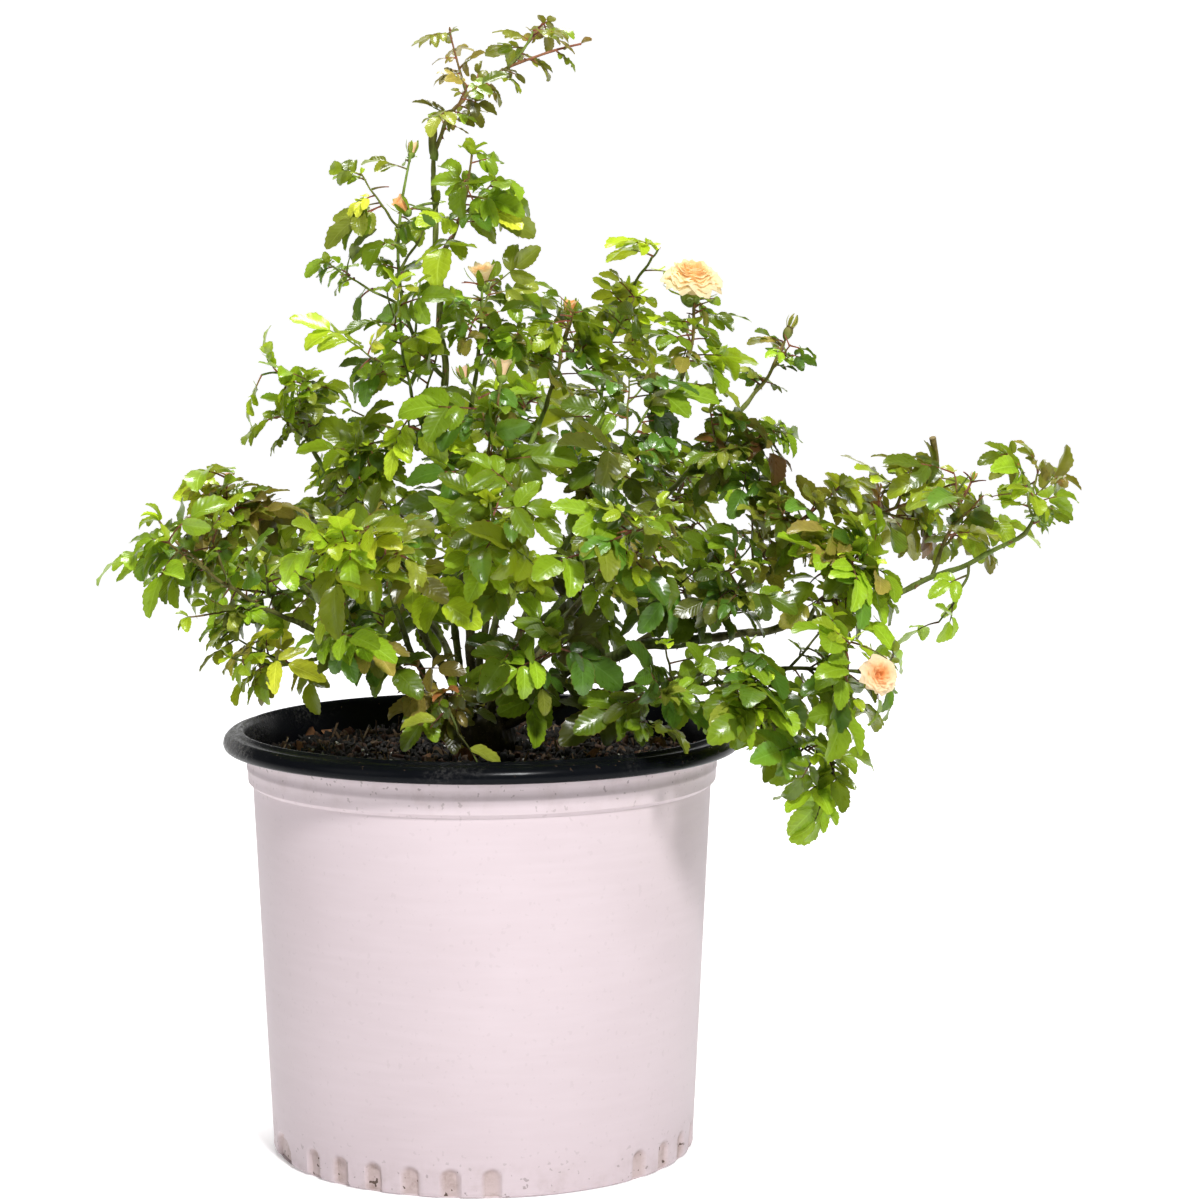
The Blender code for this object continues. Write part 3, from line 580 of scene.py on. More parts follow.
def dark_mix(shade):
    """Moist composted bark, nearly black, with rusty fibres and paler dry grains."""
    place = shade.place()
    grains = shade.noise(place, 520.0, 5.0, 0.7)
    patch = shade.noise(place, 60.0, 4.0)
    rust = shade.noise(place, 190.0, 3.0).fit(0.58, 0.72)
    colour = patch.fit(0.35, 0.65).mix((0.006, 0.0045, 0.004), (0.016, 0.010, 0.007))
    colour = (rust * 0.6).mix(colour, (0.050, 0.022, 0.011))
    colour = grains.fit(0.68, 0.78).mix(colour, (0.10, 0.075, 0.052))
    return {"Base Color": colour, "Normal": shade.bump(grains, 0.0012)}


finish_piece(soil_mesh, new_finish("dark_mix", dark_mix, 0.9), "potting_soil", "soil")


# %% Chips, perlite and dead leaves
def turned(chance, size):
    """A random turn and a scale along each axis, as one matrix."""
    turn = Euler([chance.uniform(0, math.tau) for axis in range(3)]).to_matrix()
    return np.array(turn @ Matrix.Diagonal(Vector(size)))


def place_on_soil(chance, clear=CROWN_RADIUS):
    """A chance place on the soil, evenly spread, clear of the crown."""
    out = math.sqrt(chance.uniform(clear ** 2, (123 * MM) ** 2))
    bearing = chance.uniform(0, math.tau)
    x, y = out * math.cos(bearing), out * math.sin(bearing)
    return np.array((x, y, soil_height(x, y)))


def scatter(name, pattern, count, size, colours, sink):
    """Scatter copies of a small shape over the soil in one of a few plain colours."""
    places = []
    tints = []
    for k in range(count):
        scale = [soil_chance.uniform(low, high) * MM for low, high in size]
        middle = place_on_soil(soil_chance) + (0, 0, sink * min(scale))
        places.append(pattern.coords @ turned(soil_chance, scale).T + middle)
        tints += [soil_chance.choice(colours)] * len(pattern.coords)
    mesh = join_copies(name, pattern, np.array(places))
    paint(mesh, "chip_colour", tints)
    return mesh


def chip_pattern(seed):
    """A splinter of bark: a cube with cut corners, knocked out of true."""
    chance = random.Random(seed)
    bm = bmesh.new()
    bmesh.ops.create_cube(bm, size=1.0)
    bmesh.ops.bevel(bm, geom=bm.verts[:], affect="VERTICES", offset=0.22, segments=1, profile=0.5,
                    material=-1)
    for vert in bm.verts:
        vert.co += random_vector(chance, 0.12)
    return pattern_from(bm)


def painted(attribute, scale, strength):
    """A finish whose plain colour is kept on the mesh, mottled a little by noise."""
    def build(shade):
        place = shade.place()
        grain = shade.noise(place, scale, 4.0, 0.6)
        own = shade.kept(attribute)
        colour = grain.fit(0.3, 0.7).mix(own.toned(0.7), own)
        return {"Base Color": colour, "Normal": shade.bump(grain, 0.0005, strength)}
    return build


BARK_CHIPS = ((0.010, 0.007, 0.005), (0.022, 0.012, 0.008), (0.085, 0.034, 0.015),
              (0.006, 0.005, 0.004), (0.014, 0.009, 0.006), (0.012, 0.008, 0.006),
              (0.008, 0.006, 0.005), (0.13, 0.075, 0.04))
chips = scatter("bark_chips", chip_pattern(1), 2500, ((1.5, 8), (1.2, 4), (0.6, 2.0)), BARK_CHIPS, 0.4)
chip_finish = new_finish("bark_chip", painted("chip_colour", 700.0, 0.7), 0.8)
finish_piece(chips, chip_finish, "potting_soil", "soil")
perlite = scatter("perlite", chip_pattern(2), 210, ((0.8, 2.2), (0.8, 2.0), (0.8, 1.8)),
                  ((0.62, 0.60, 0.55), (0.75, 0.74, 0.70)), 0.5)
finish_piece(perlite, chip_finish, "potting_soil", "soil")


def curled_leaf():
    """A dead leaflet: a small grid cut to an oval and rolled up along its midrib."""
    bm = bmesh.new()
    bmesh.ops.create_grid(bm, x_segments=6, y_segments=4, size=0.5)
    for vert in bm.verts:
        share = vert.co.x + 0.5
        vert.co.y *= 0.15 + 2.2 * math.sqrt(max(0.0, share * (1 - share)))
        vert.co.z = 0.9 * vert.co.y ** 2 + 0.35 * vert.co.x ** 2 + 0.04 * math.sin(9 * share)
    return pattern_from(bm)


DEAD_LEAVES = ((0.22, 0.085, 0.032), (0.30, 0.135, 0.055), (0.13, 0.055, 0.028), (0.20, 0.12, 0.06))
STRAWS = ((0.20, 0.125, 0.065), (0.09, 0.05, 0.028), (0.30, 0.21, 0.12))
dead_leaves = scatter("dead_leaves", curled_leaf(), 46, ((7, 15), (5, 9), (5, 9)), DEAD_LEAVES, 0.25)
finish_piece(dead_leaves, chip_finish, "potting_soil", "soil")
straws = scatter("straw_bits", chip_pattern(3), 110, ((6, 20), (0.5, 1.1), (0.5, 1.0)), STRAWS, 0.9)
finish_piece(straws, chip_finish, "potting_soil", "soil")

# %% [markdown]
# ## The canes and where they go
# Every cane springs from one woody crown just above the soil and bends once on its way
# to a known tip.  The table gives each tip in millimetres from the centre of the rim, as
# (right, back, up), with the cane's width at both ends in millimetres.  A quadratic
# Bezier curve, three points and one formula, is enough for such a limb.

# %% Tables of canes and sprays
CANE_PULL = 0.42
FOOT_SPREAD = math.radians(21)
SPREAD_ROUNDS = 60
SPREAD_PUSH = 0.05
SHOOT_LEAN = 0.8
GAP = 0.3 * MM
CANE_SIDES = 6
Cane = namedtuple("Cane", "name parent tip foot_width tip_width rise bark")
CANES = (
    Cane("tall_cane", "root_crown", (-25, -10, 300), 5.8, 2.8, 0.55, "cane_young"),
    Cane("left_top_cane", "root_crown", (-92, 25, 146), 4.8, 2.6, 0.35, "cane_young"),
    Cane("left_mid_cane", "root_crown", (-118, -14, 98), 4.8, 2.8, 0.40, "cane_old"),
    Cane("left_low_cane", "root_crown", (-102, -60, 66), 5.2, 2.8, 0.30, "cane_old"),
    Cane("front_left_cane", "root_crown", (-44, -94, 84), 4.4, 2.6, 0.40, "cane_young"),
    Cane("front_right_cane", "root_crown", (48, -96, 82), 4.4, 2.6, 0.45, "cane_young"),
    Cane("centre_cane", "root_crown", (-4, -34, 178), 4.6, 2.6, 0.50, "cane_young"),
    Cane("bud_cane", "root_crown", (34, 4, 172), 4.6, 2.6, 0.55, "cane_young"),
    Cane("right_top_cane", "root_crown", (98, 16, 170), 5.2, 2.8, 0.50, "cane_young"),
    Cane("hip_cane", "root_crown", (148, 44, 176), 4.8, 2.6, 0.30, "cane_young"),
    Cane("old_right_cane", "root_crown", (126, -14, 50), 8.6, 5.4, 0.45, "cane_old"),
    Cane("wing_cane", "old_right_cane", (290, -40, 107), 4.6, 2.4, 0.35, "cane_young"),
    Cane("wing_top_cane", "root_crown", (204, 16, 108), 5.0, 2.6, 0.35, "cane_young"),
    Cane("low_right_cane", "root_crown", (150, -72, 40), 4.8, 2.8, 0.30, "cane_old"),
    Cane("back_left_cane", "root_crown", (-64, 78, 94), 4.8, 2.6, 0.40, "cane_young"),
    Cane("back_cane", "root_crown", (16, 84, 120), 4.8, 2.6, 0.45, "cane_young"),
    Cane("back_right_cane", "root_crown", (88, 78, 90), 4.8, 2.6, 0.40, "cane_young"),
)

Spray = namedtuple("Spray", "name cane along tip leaves leaf_size ending tint")
SPRAYS = (
    Spray("tall_top_spray", "tall_cane", 1.00, (55, -10, 371), 15, 24, "leaf", "leaf_bronze"),
    Spray("tall_side_spray", "tall_cane", 0.86, (-3, -40, 311), 9, 35, "leaf", "leaf_fresh"),
    Spray("shoulder_spray", "tall_cane", 0.66, (-36, -18, 314), 18, 30, "bud", "leaf_fresh"),
    Spray("column_spray", "tall_cane", 0.48, (-43, -35, 241), 17, 36, "leaf", "leaf_fresh"),
    Spray("left_top_spray", "left_top_cane", 1.00, (-97, 29, 189), 15, 32, "leaf", "leaf_fresh"),
    Spray("left_inner_spray", "left_top_cane", 0.62, (-62, -22, 158), 17, 42, "leaf", "leaf_fresh"),
    Spray("bronze_spray", "left_mid_cane", 1.00, (-144, -15, 126), 17, 33, "leaf", "leaf_bronze"),
    Spray("left_mid_spray", "left_mid_cane", 0.62, (-129, 55, 103), 14, 42, "leaf", "leaf_fresh"),
    Spray("left_base_spray", "left_mid_cane", 0.78, (-126, -78, 71), 15, 42, "leaf", "leaf_deep"),
    Spray("left_low_spray", "left_low_cane", 1.00, (-170, -52, 117), 17, 36, "leaf", "leaf_fresh"),
    Spray("left_droop_spray", "left_low_cane", 0.72, (-129, -85, 48), 7, 30, "leaf", "leaf_lime"),
    Spray("centre_left_spray", "front_left_cane", 1.00, (-64, -128, 119), 15, 45, "leaf", "leaf_lime"),
    Spray("low_left_spray", "front_left_cane", 0.60, (-67, -113, 85), 11, 40, "leaf", "leaf_deep"),
    Spray("low_front_spray", "front_left_cane", 0.24, (-16, -98, 31), 10, 36, "leaf", "leaf_bronze"),
    Spray("low_centre_spray", "front_right_cane", 0.36, (42, -104, 58), 10, 39, "leaf", "leaf_deep"),
    Spray("centre_front_spray", "front_right_cane", 0.70, (9, -127, 133), 16, 45, "leaf", "leaf_lime"),
    Spray("centre_right_spray", "front_right_cane", 1.00, (96, -117, 129), 15, 44, "leaf", "leaf_fresh"),
    Spray("half_open_spray", "centre_cane", 1.00, (2, -30, 246), 16, 36, "half", "leaf_fresh"),
    Spray("upper_front_spray", "centre_cane", 0.70, (12, -72, 186), 14, 44, "leaf", "leaf_fresh"),
    Spray("bud_spray", "bud_cane", 1.00, (48, 5, 228), 16, 36, "bud", "leaf_fresh"),
    Spray("crest_spray", "right_top_cane", 0.80, (82, 37, 238), 17, 34, "leaf", "leaf_lime"),
    Spray("bloom_spray", "right_top_cane", 1.00, (116, 22, 244), 13, 36, "bloom", "leaf_fresh"),
    Spray("right_inner_spray", "right_top_cane", 0.60, (91, -50, 177), 18, 44, "leaf", "leaf_deep"),
    Spray("hip_spray", "hip_cane", 1.00, (169, 46, 212), 6, 22, "hip", "leaf_deep"),
    Spray("right_shoulder_spray", "hip_cane", 0.78, (140, -25, 154), 15, 40, "leaf", "leaf_deep"),
    Spray("wing_tip_spray", "wing_cane", 1.00, (286, -36, 152), 13, 24, "leaf", "leaf_fresh"),
    Spray("wing_bud_spray", "wing_cane", 0.74, (268, -14, 138), 16, 32, "bud", "leaf_bronze"),
    Spray("right_mid_spray", "wing_cane", 0.34, (206, -45, 102), 20, 40, "leaf", "leaf_fresh"),
    Spray("wing_top_spray", "wing_top_cane", 1.00, (247, 23, 124), 17, 31, "leaf", "leaf_bronze"),
    Spray("wing_base_spray", "wing_top_cane", 0.70, (182, -23, 122), 19, 40, "leaf", "leaf_bronze"),
    Spray("under_base_spray", "wing_top_cane", 0.46, (137, -72, 95), 18, 43, "leaf", "leaf_deep"),
    Spray("right_bloom_spray", "low_right_cane", 1.00, (211, -94, 40), 18, 36, "rose", "leaf_fresh"),
    Spray("right_base_spray", "low_right_cane", 0.66, (150, -102, 40), 18, 41, "leaf", "leaf_fresh"),
    Spray("right_droop_spray", "low_right_cane", 0.84, (190, -80, -9), 13, 34, "leaf", "leaf_fresh"),
    Spray("low_right_spray", "low_right_cane", 0.46, (99, -117, 33), 10, 39, "leaf", "leaf_deep"),
    Spray("back_left_spray", "back_left_cane", 1.00, (-85, 115, 118), 14, 45, "leaf", "leaf_fresh"),
    Spray("back_low_left_spray", "back_left_cane", 0.60, (-58, 115, 91), 13, 43, "leaf", "leaf_deep"),
    Spray("back_centre_spray", "back_cane", 1.00, (5, 115, 179), 13, 46, "leaf", "leaf_fresh"),
    Spray("back_right_spray", "back_right_cane", 1.00, (116, 104, 137), 14, 45, "leaf", "leaf_fresh"),
    Spray("back_low_right_spray", "back_right_cane", 0.60, (85, 115, 91), 13, 43, "leaf", "leaf_deep"),
)
print(len(CANES), "canes carry", len(SPRAYS), "sprays")


# %% Curves
def from_rim(place):
    """A place in millimetres from the rim's centre, as a point in metres."""
    return Vector(place) * MM + UP * POT_HEIGHT


def bezier(start, pull, end, t):
    return start * (1 - t) ** 2 + pull * (2 * t * (1 - t)) + end * t ** 2


def bezier_slope(start, pull, end, t):
    return ((pull - start) * (1 - t) + (end - pull) * t).normalized()


def place_on(points, share):
    """Place and slope at a share of the way along a path of straight pieces."""
    scaled = share * (len(points) - 1)
    k = min(int(scaled), len(points) - 2)
    return points[k].lerp(points[k + 1], scaled - k), (points[k + 1] - points[k]).normalized()


def out_from(slope, turn):
    """A unit vector square to a shoot, at a turn round it."""
    across = slope.orthogonal().normalized()
    return across * math.cos(turn) + slope.cross(across) * math.sin(turn)


def leaving_point(carrier, along, end, radius):
    """Where a shoot starts on its cane, and which way: on from the tip, or off the side."""
    start, pull, tip, foot_radius, tip_radius = carrier
    slope = bezier_slope(start, pull, tip, along)
    place = bezier(start, pull, tip, along)
    if along >= 1:
        return place + slope * GAP, slope
    out = end - place
    out = (out - slope * out.dot(slope)).normalized()
    leave = (out + slope * SHOOT_LEAN).normalized()
    girth = foot_radius + (tip_radius - foot_radius) * along
    clear = (girth + GAP + radius * leave.dot(slope)) / leave.dot(out)
    return place + leave * clear, leave


def solid_tree(name):
    """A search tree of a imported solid's faces."""
    mesh = frame["nodes"][name].data
    faces = [tuple(face.vertices) for face in mesh.polygons]
    return BVHTree.FromPolygons([vert.co for vert in mesh.vertices], faces)


print("a place over the rim's middle is", from_rim((0, 0, 100)), "in metres")

# %% Cane paths
CROWN_MIDDLE = Vector((0, 0, 228 * MM))


def foot_headings():
    """Which way each cane leaves the crown: up from its tip's bearing, then spread apart."""
    headings = {}
    for cane in CANES:
        if cane.parent == "root_crown":
            way = from_rim(cane.tip) - CROWN_MIDDLE
            headings[cane.name] = (way + UP * cane.rise * way.length).normalized()
    for spread_round in range(SPREAD_ROUNDS):
        for name, heading in headings.items():
            for other, way in headings.items():
                if other != name and heading.angle(way) < FOOT_SPREAD:
                    push = (heading - way).normalized() * SPREAD_PUSH
                    headings[name] = heading = (heading + push).normalized()
    return headings


def seat_on_crown(tree, leave, radius):
    """How far out along a heading a round foot rests on the crown's solid."""
    far = leave * 2 * CROWN_RADIUS
    top = 0.0
    for ring in (0, 0.5, 1):
        for k in range(2 * CANE_SIDES):
            offset = out_from(leave, math.pi * k / CANE_SIDES) * radius * ring
            place, normal, face, drop = tree.ray_cast(CROWN_MIDDLE + offset + far, -leave)
            top = max(top, far.length - drop)
    return top + GAP


crown_tree = solid_tree("root_crown")
headings = foot_headings()
paths = {}
for cane in CANES:
    end = from_rim(cane.tip)
    foot_radius = cane.foot_width * MM / 2
    if cane.parent == "root_crown":
        leave = headings[cane.name]
        start = CROWN_MIDDLE + leave * seat_on_crown(crown_tree, leave, foot_radius)
    else:
        start, leave = leaving_point(paths[cane.parent], 1, end, foot_radius)
    pull = start + leave * (end - start).length * CANE_PULL
    paths[cane.name] = (start, pull, end, foot_radius, cane.tip_width * MM / 2)
print("the tall cane runs from", paths["tall_cane"][0], "to", paths["tall_cane"][2])

# %% [markdown]
# ## How a spray grows
# A spray is one stem with side twigs, and a leaf every two fifths of a turn along both,
# as roses have them.  Each spray draws its chances from a seed of its own, so the places
# are the same on every run.  Where the solid spray holds a leaf, a whole compound leaf
# grows here; where the solid had no room for a thick one, a smaller leaf may still fit.

# %% Growth rule
SEED = 20
STEM_SEGMENTS = 4
STEM_PULL = 0.5
STEM_RADIUS = 1.25 * MM
STEM_TIP_RADIUS = 0.75 * MM
STEM_LEAVES = 6
STEM_LEAF_SPAN = (0.22, 0.78)
TWIG_RADIUS = 0.85 * MM
TWIG_TIP_RADIUS = 0.6 * MM
TWIG_SPAN = (0.16, 0.66)
TWIG_REACH = 0.30
TWIG_LEAST_REACH = 12 * MM
TWIG_FADE = (1.1, 0.4)
TWIG_ALONG = 0.7
TWIG_RISE = 0.35
TWIG_OUTWARD = 0.3
TWIG_STEPS = (0.42, 0.72, 0.97)
TWIG_LEAVES = len(TWIG_STEPS)
LEAF_TURN = math.radians(144)
LEAF_ANGLE = math.radians(58)
LEAF_LIFT = 0.7
LEAF_DROOP = 0.12
LEAF_FACE_UP = 0.75
LEAF_FACE_OUT = 0.65
LEAF_TILT = 0.45
LEAF_TRIES = 8
LEAF_FOOT_SIZE = 1.15
LEAF_TAPER = 0.35
POT_MARGIN = 4 * MM
HELD_WITHIN = 0.3 * MM                        # a leaf's tip this near a solid is held by it
Shoot = namedtuple("Shoot", "points foot_radius tip_radius")
Leaf = namedtuple("Leaf", "shoot root slope turn tilt length")


def leaf_axes(leaf):
    """Which way a leaf points, and which way its upper face looks."""
    heading = leaf.slope * math.cos(LEAF_ANGLE)
    heading += out_from(leaf.slope, leaf.turn) * math.sin(LEAF_ANGLE)
    heading.z = heading.z * LEAF_LIFT - LEAF_DROOP
    heading.normalize()
    outward = Vector((leaf.root.x, leaf.root.y, 0)).normalized()
    face = UP * LEAF_FACE_UP + outward * LEAF_FACE_OUT + leaf.tilt
    face = (face - heading * face.dot(heading)).normalized()
    return heading, face


def grow_spray(spray, seed):
    """Stem curve, side twigs and leaf places of one spray."""
    chance = random.Random(seed)
    end = from_rim(spray.tip)
    start, leave = leaving_point(paths[spray.cane], spray.along, end, STEM_RADIUS)
    pull = start + leave * (end - start).length * STEM_PULL
    length = (end - start).length
    size = spray.leaf_size * MM
    shares = [k / STEM_SEGMENTS for k in range(STEM_SEGMENTS + 1)]
    stem = [bezier(start, pull, end, t) for t in shares]
    shoots = [Shoot(stem, STEM_RADIUS, STEM_TIP_RADIUS)]
    leaves = []
    turn = chance.uniform(0, math.tau)

    def add_leaf_place(shoot, root, slope, fade):
        tilt = random_vector(chance, LEAF_TILT)
        long = size * fade * chance.uniform(0.85, 1.1)
        leaves.append(Leaf(shoot, root, slope, turn, tilt, long))

    twigs = max(1, round((spray.leaves - STEM_LEAVES) / TWIG_LEAVES))
    places = spray.leaves - twigs * TWIG_LEAVES
    for k in range(places):
        share = STEM_LEAF_SPAN[0] + STEM_LEAF_SPAN[1] * (k + 0.5) / places
        turn += LEAF_TURN
        root, slope = place_on(stem, share)
        add_leaf_place(0, root, slope, LEAF_FOOT_SIZE - LEAF_TAPER * share)
    for k in range(twigs):
        share = TWIG_SPAN[0] + TWIG_SPAN[1] * (k + 0.5) / twigs
        turn += LEAF_TURN
        foot, slope = place_on(stem, share)
        outward = Vector((foot.x, foot.y, 0)).normalized()
        heading = out_from(slope, turn) + slope * TWIG_ALONG
        heading += UP * TWIG_RISE + outward * TWIG_OUTWARD
        heading.normalize()
        reach = (TWIG_REACH * length + TWIG_LEAST_REACH) * chance.uniform(0.8, 1.15)
        reach *= TWIG_FADE[0] - TWIG_FADE[1] * share
        tip = foot + heading * reach
        shoots.append(Shoot([foot, tip], TWIG_RADIUS, TWIG_TIP_RADIUS))
        for step in TWIG_STEPS:
            turn += LEAF_TURN
            root = foot.lerp(tip, step)
            add_leaf_place(len(shoots) - 1, root, heading, 1.0)
    return (start, pull, end), shoots, leaves


growths = {spray.name: grow_spray(spray, SEED + k) for k, spray in enumerate(SPRAYS)}
print(sum(len(leaves) for stem, shoots, leaves in growths.values()), "leaf places")


# %% Which places the solids hold
def clear_of_pot(point):
    """Whether a point is above the rim, outside the pot, or inside it above the soil."""
    if point.z > POT_HEIGHT + POT_MARGIN:
        return True
    reach = math.hypot(point.x, point.y)
    if reach > RIM_RADIUS + POT_MARGIN:
        return True
    return reach < MOUTH_RADIUS - 3 * POT_MARGIN and point.z > SOIL_TOP + 2 * POT_MARGIN


def held_leaf(leaf, tree):
    """The leaf turned as the solid holds it, or nothing where the solid has none."""
    for attempt in range(LEAF_TRIES):
        turned_leaf = leaf._replace(turn=leaf.turn + attempt * LEAF_TURN)
        heading, face = leaf_axes(turned_leaf)
        distance = tree.find_nearest(leaf.root + heading * leaf.length)[3]
        if distance < HELD_WITHIN:
            return turned_leaf
    return None


def stem_points(name):
    """The places along the main stem of a spray, from its foot to its tip."""
    curve, shoots, leaves = growths[name]
    return shoots[0].points


stem_map = KDTree(2 * STEM_SEGMENTS * len(SPRAYS))
owners = []
for spray in SPRAYS:
    stem = stem_points(spray.name)
    for lower, upper in zip(stem, stem[1:]):
        for place in (lower.lerp(upper, 0.5), upper):
            stem_map.insert(place, len(owners))
            owners.append(spray.name)
stem_map.balance()


def in_space(point, name):
    """Whether the stem nearest to a point is the named spray's."""
    return owners[stem_map.find(point)[1]] == name


held = {}
for spray in SPRAYS:
    tree = solid_tree(spray.name)
    held[spray.name] = [held_leaf(leaf, tree) for leaf in growths[spray.name][2]]
print(sum(leaf is not None for leaves in held.values() for leaf in leaves), "are held by solids")

# %% [markdown]
# ## Stems of every size
# A cane, a twig and a leaf stalk are all tapering tubes along a path, so they share one
# recipe.  A capped cylinder is cut into rings once, as a pattern that holds only ring
# numbers and angles, and each copy is laid along its own path.  Canes swell a little at
# every bud, weave from bud to bud, and carry a few hooked prickles.

# %% Tubes along paths
Tube = namedtuple("Tube", "path radii foot_colour tip_colour")


def tube_pattern(sides, rings):
    """A capped cylinder of unit rings; each point's z is its ring's number."""
    bm = bmesh.new()
    bmesh.ops.create_cone(bm, cap_ends=True, segments=sides, radius1=1, radius2=1, depth=rings - 1)
    bmesh.ops.translate(bm, verts=bm.verts, vec=(0, 0, (rings - 1) / 2))
    for k in range(1, rings - 1):
        everything = bm.verts[:] + bm.edges[:] + bm.faces[:]
        bmesh.ops.bisect_plane(bm, geom=everything, plane_co=(0, 0, k), plane_no=(0, 0, 1))
    return pattern_from(bm)


def tube_frames(path):
    """Slopes along a path, and two directions square to each that turn as little as they can."""
    points = np.array([tuple(point) for point in path])
    slopes = np.gradient(points, axis=0)
    slopes /= np.linalg.norm(slopes, axis=1)[:, None]
    across = [np.array(Vector(slopes[0]).orthogonal().normalized())]
    for slope in slopes[1:]:
        side = across[-1] - slope * across[-1].dot(slope)
        across.append(side / np.linalg.norm(side))
    across = np.array(across)
    return points, across, np.cross(slopes, across)


def lay_tubes(name, tubes, sides, rings):
    """One mesh of tubes, each with a colour that changes from foot to tip."""
    pattern = tube_pattern(sides, rings)
    number = np.rint(pattern.coords[:, 2]).astype(int)
    sweep = pattern.coords[:, :2]
    places = np.empty((len(tubes), len(number), 3))
    tints = np.empty((len(tubes), len(number), 3))
    share = (number / (rings - 1))[:, None]
    for k, tube in enumerate(tubes):
        points, across, beside = tube_frames(tube.path)
        girth = np.array(tube.radii)[number][:, None]
        ring = across[number] * sweep[:, :1] + beside[number] * sweep[:, 1:]
        places[k] = points[number] + girth * ring
        tints[k] = np.array(tube.foot_colour) * (1 - share) + np.array(tube.tip_colour) * share
    mesh = join_copies(name, pattern, places)
    paint(mesh, "bark_colour", tints.reshape(-1, 3))
    mesh.set_sharp_from_angle(angle=math.radians(70))
    return mesh


BARKS = {
    "old_wood": (0.050, 0.036, 0.018),
    "grey_wood": (0.130, 0.118, 0.036),
    "olive": (0.150, 0.180, 0.030),
    "green": (0.175, 0.265, 0.032),
    "bright": (0.240, 0.340, 0.040),
    "red": (0.260, 0.080, 0.040),
    "maroon": (0.130, 0.040, 0.025),
}


def mixed(first, second, share):
    return tuple(a * (1 - share) + b * share for a, b in zip(first, second))


CANE_BUD_STEP = 19 * MM
BUD_SWELL = 0.16
BUD_LENGTH = 2.2 * MM
GIRTH_NOISE = 0.05


def limb_tube(path, radii, rings, chance, colours, weave, bud_step=CANE_BUD_STEP):
    """A cane or stem: its curve weaves between buds, and swells at each one."""
    start, pull, end = path
    length = (end - start).length
    phase = chance.uniform(0, 1)
    turn = chance.uniform(0, math.tau)
    points = []
    girths = []
    for k in range(rings):
        t = k / (rings - 1)
        slope = bezier_slope(start, pull, end, t)
        bud = t * length / bud_step + phase
        side = math.sin(math.pi * bud) * weave * radii[0] * min(1, 6 * t, 6 * (1 - t))
        points.append(bezier(start, pull, end, t) + out_from(slope, turn) * side)
        near_bud = abs(bud - round(bud))
        swell = 1 + BUD_SWELL * math.exp(-(near_bud * bud_step / BUD_LENGTH) ** 2)
        uneven = 1 + GIRTH_NOISE * noise.noise(points[-1] * 120)
        girths.append((radii[0] + (radii[1] - radii[0]) * t) * swell * uneven)
    return Tube(points, girths, colours[0], colours[1])


# %% Canes and crown
def bark(shade):
    """Cane skin: streaks along the limb, small pale pores, and darker patches low down: old scabbed bark
    and painted shade under the leaves.
    """
    place = shade.place()
    own = shade.kept("bark_colour")
    along = shade.noise(shade.stretched(place, 1.0, 0.16), 520.0, 4.0, 0.6)
    patch = shade.noise(place, 85.0, 3.0)
    pores = shade.noise(place, 950.0, 1.0).fit(0.66, 0.72)
    low = place.part("z").fit(0.40, 0.26)
    dark = own.toned(0.55)
    light = own.toned(1.4, 0.9)
    colour = along.fit(0.3, 0.7).mix(dark, light)
    colour = (patch.fit(0.42, 0.62) * 0.6).mix(colour, own)
    # painted shade: every stem below the leaves darkens towards the soil, broken into patches
    colour = (low * (0.50 + patch.fit(0.45, 0.62) * 0.4)).mix(colour, (0.026, 0.020, 0.008))
    colour = (pores * 0.35).mix(colour, (0.20, 0.16, 0.09))
    relief = along + pores * 0.5 + patch * low
    return {"Base Color": colour, "Normal": shade.bump(relief, 0.0004, 0.7)}


bark_finish = new_finish("rose_bark", bark, 0.55, Specular_IOR_Level=0.16)
CANE_COLOURS = {
    "cane_old": (("old_wood", "olive"), ("old_wood", "green")),
    "cane_young": (("grey_wood", "green"), ("olive", "green"), ("grey_wood", "olive"),
                   ("olive", "bright")),
}
CANE_PIECES = (("cane_old", "old_canes", "old_bark"), ("cane_young", "young_canes", "young_bark"))
CANE_RINGS = 90
CANE_ROUND = 14                               # sides of a dressed cane
CANE_SUNK = 2.5 * MM                          # how deep a limb's foot stands in its carrier
CANE_WEAVE = 0.38


def sunk_foot(start, pull, depth):
    """A limb's foot moved back along its own way, into what carries it."""
    return start - (pull - start).normalized() * depth


limb_chance = random.Random(7)
limbs = {"cane_old": [], "cane_young": []}
limb_tubes = []
for cane in CANES:
    start, pull, end, foot, tip = paths[cane.name]
    foot_name, tip_name = limb_chance.choice(CANE_COLOURS[cane.bark])
    tube = limb_tube((sunk_foot(start, pull, CANE_SUNK), pull, end), (foot, tip), CANE_RINGS,
                     limb_chance, (BARKS[foot_name], BARKS[tip_name]), CANE_WEAVE)
    limbs[cane.bark].append(tube)
    limb_tubes.append(tube)
for kind, name, slot in CANE_PIECES:
    mesh = lay_tubes(name, limbs[kind], CANE_ROUND, CANE_RINGS)
    finish_piece(mesh, bark_finish, slot, *[cane.name for cane in CANES if cane.bark == kind])

CROWN_LEAST = 220 * MM                        # its underside is flat, inside the soil
bm = bmesh.new()
bmesh.ops.create_icosphere(bm, subdivisions=5, radius=CROWN_RADIUS)
for vert in bm.verts:
    way = vert.co.normalized()
    knots = 1.6 * noise.noise(way * 2.2) + 0.9 * noise.noise(way * 5.5) + 0.3 * noise.noise(way * 15)
    vert.co = CROWN_MIDDLE + way * (CROWN_RADIUS - 1.0 * MM + knots * MM)
    vert.co.z = max(vert.co.z, CROWN_LEAST)
crown_mesh = mesh_from(bm, "crown_wood", 60)
paint(crown_mesh, "bark_colour", [BARKS["old_wood"]] * len(crown_mesh.vertices))
finish_piece(crown_mesh, bark_finish, "old_bark", "root_crown")

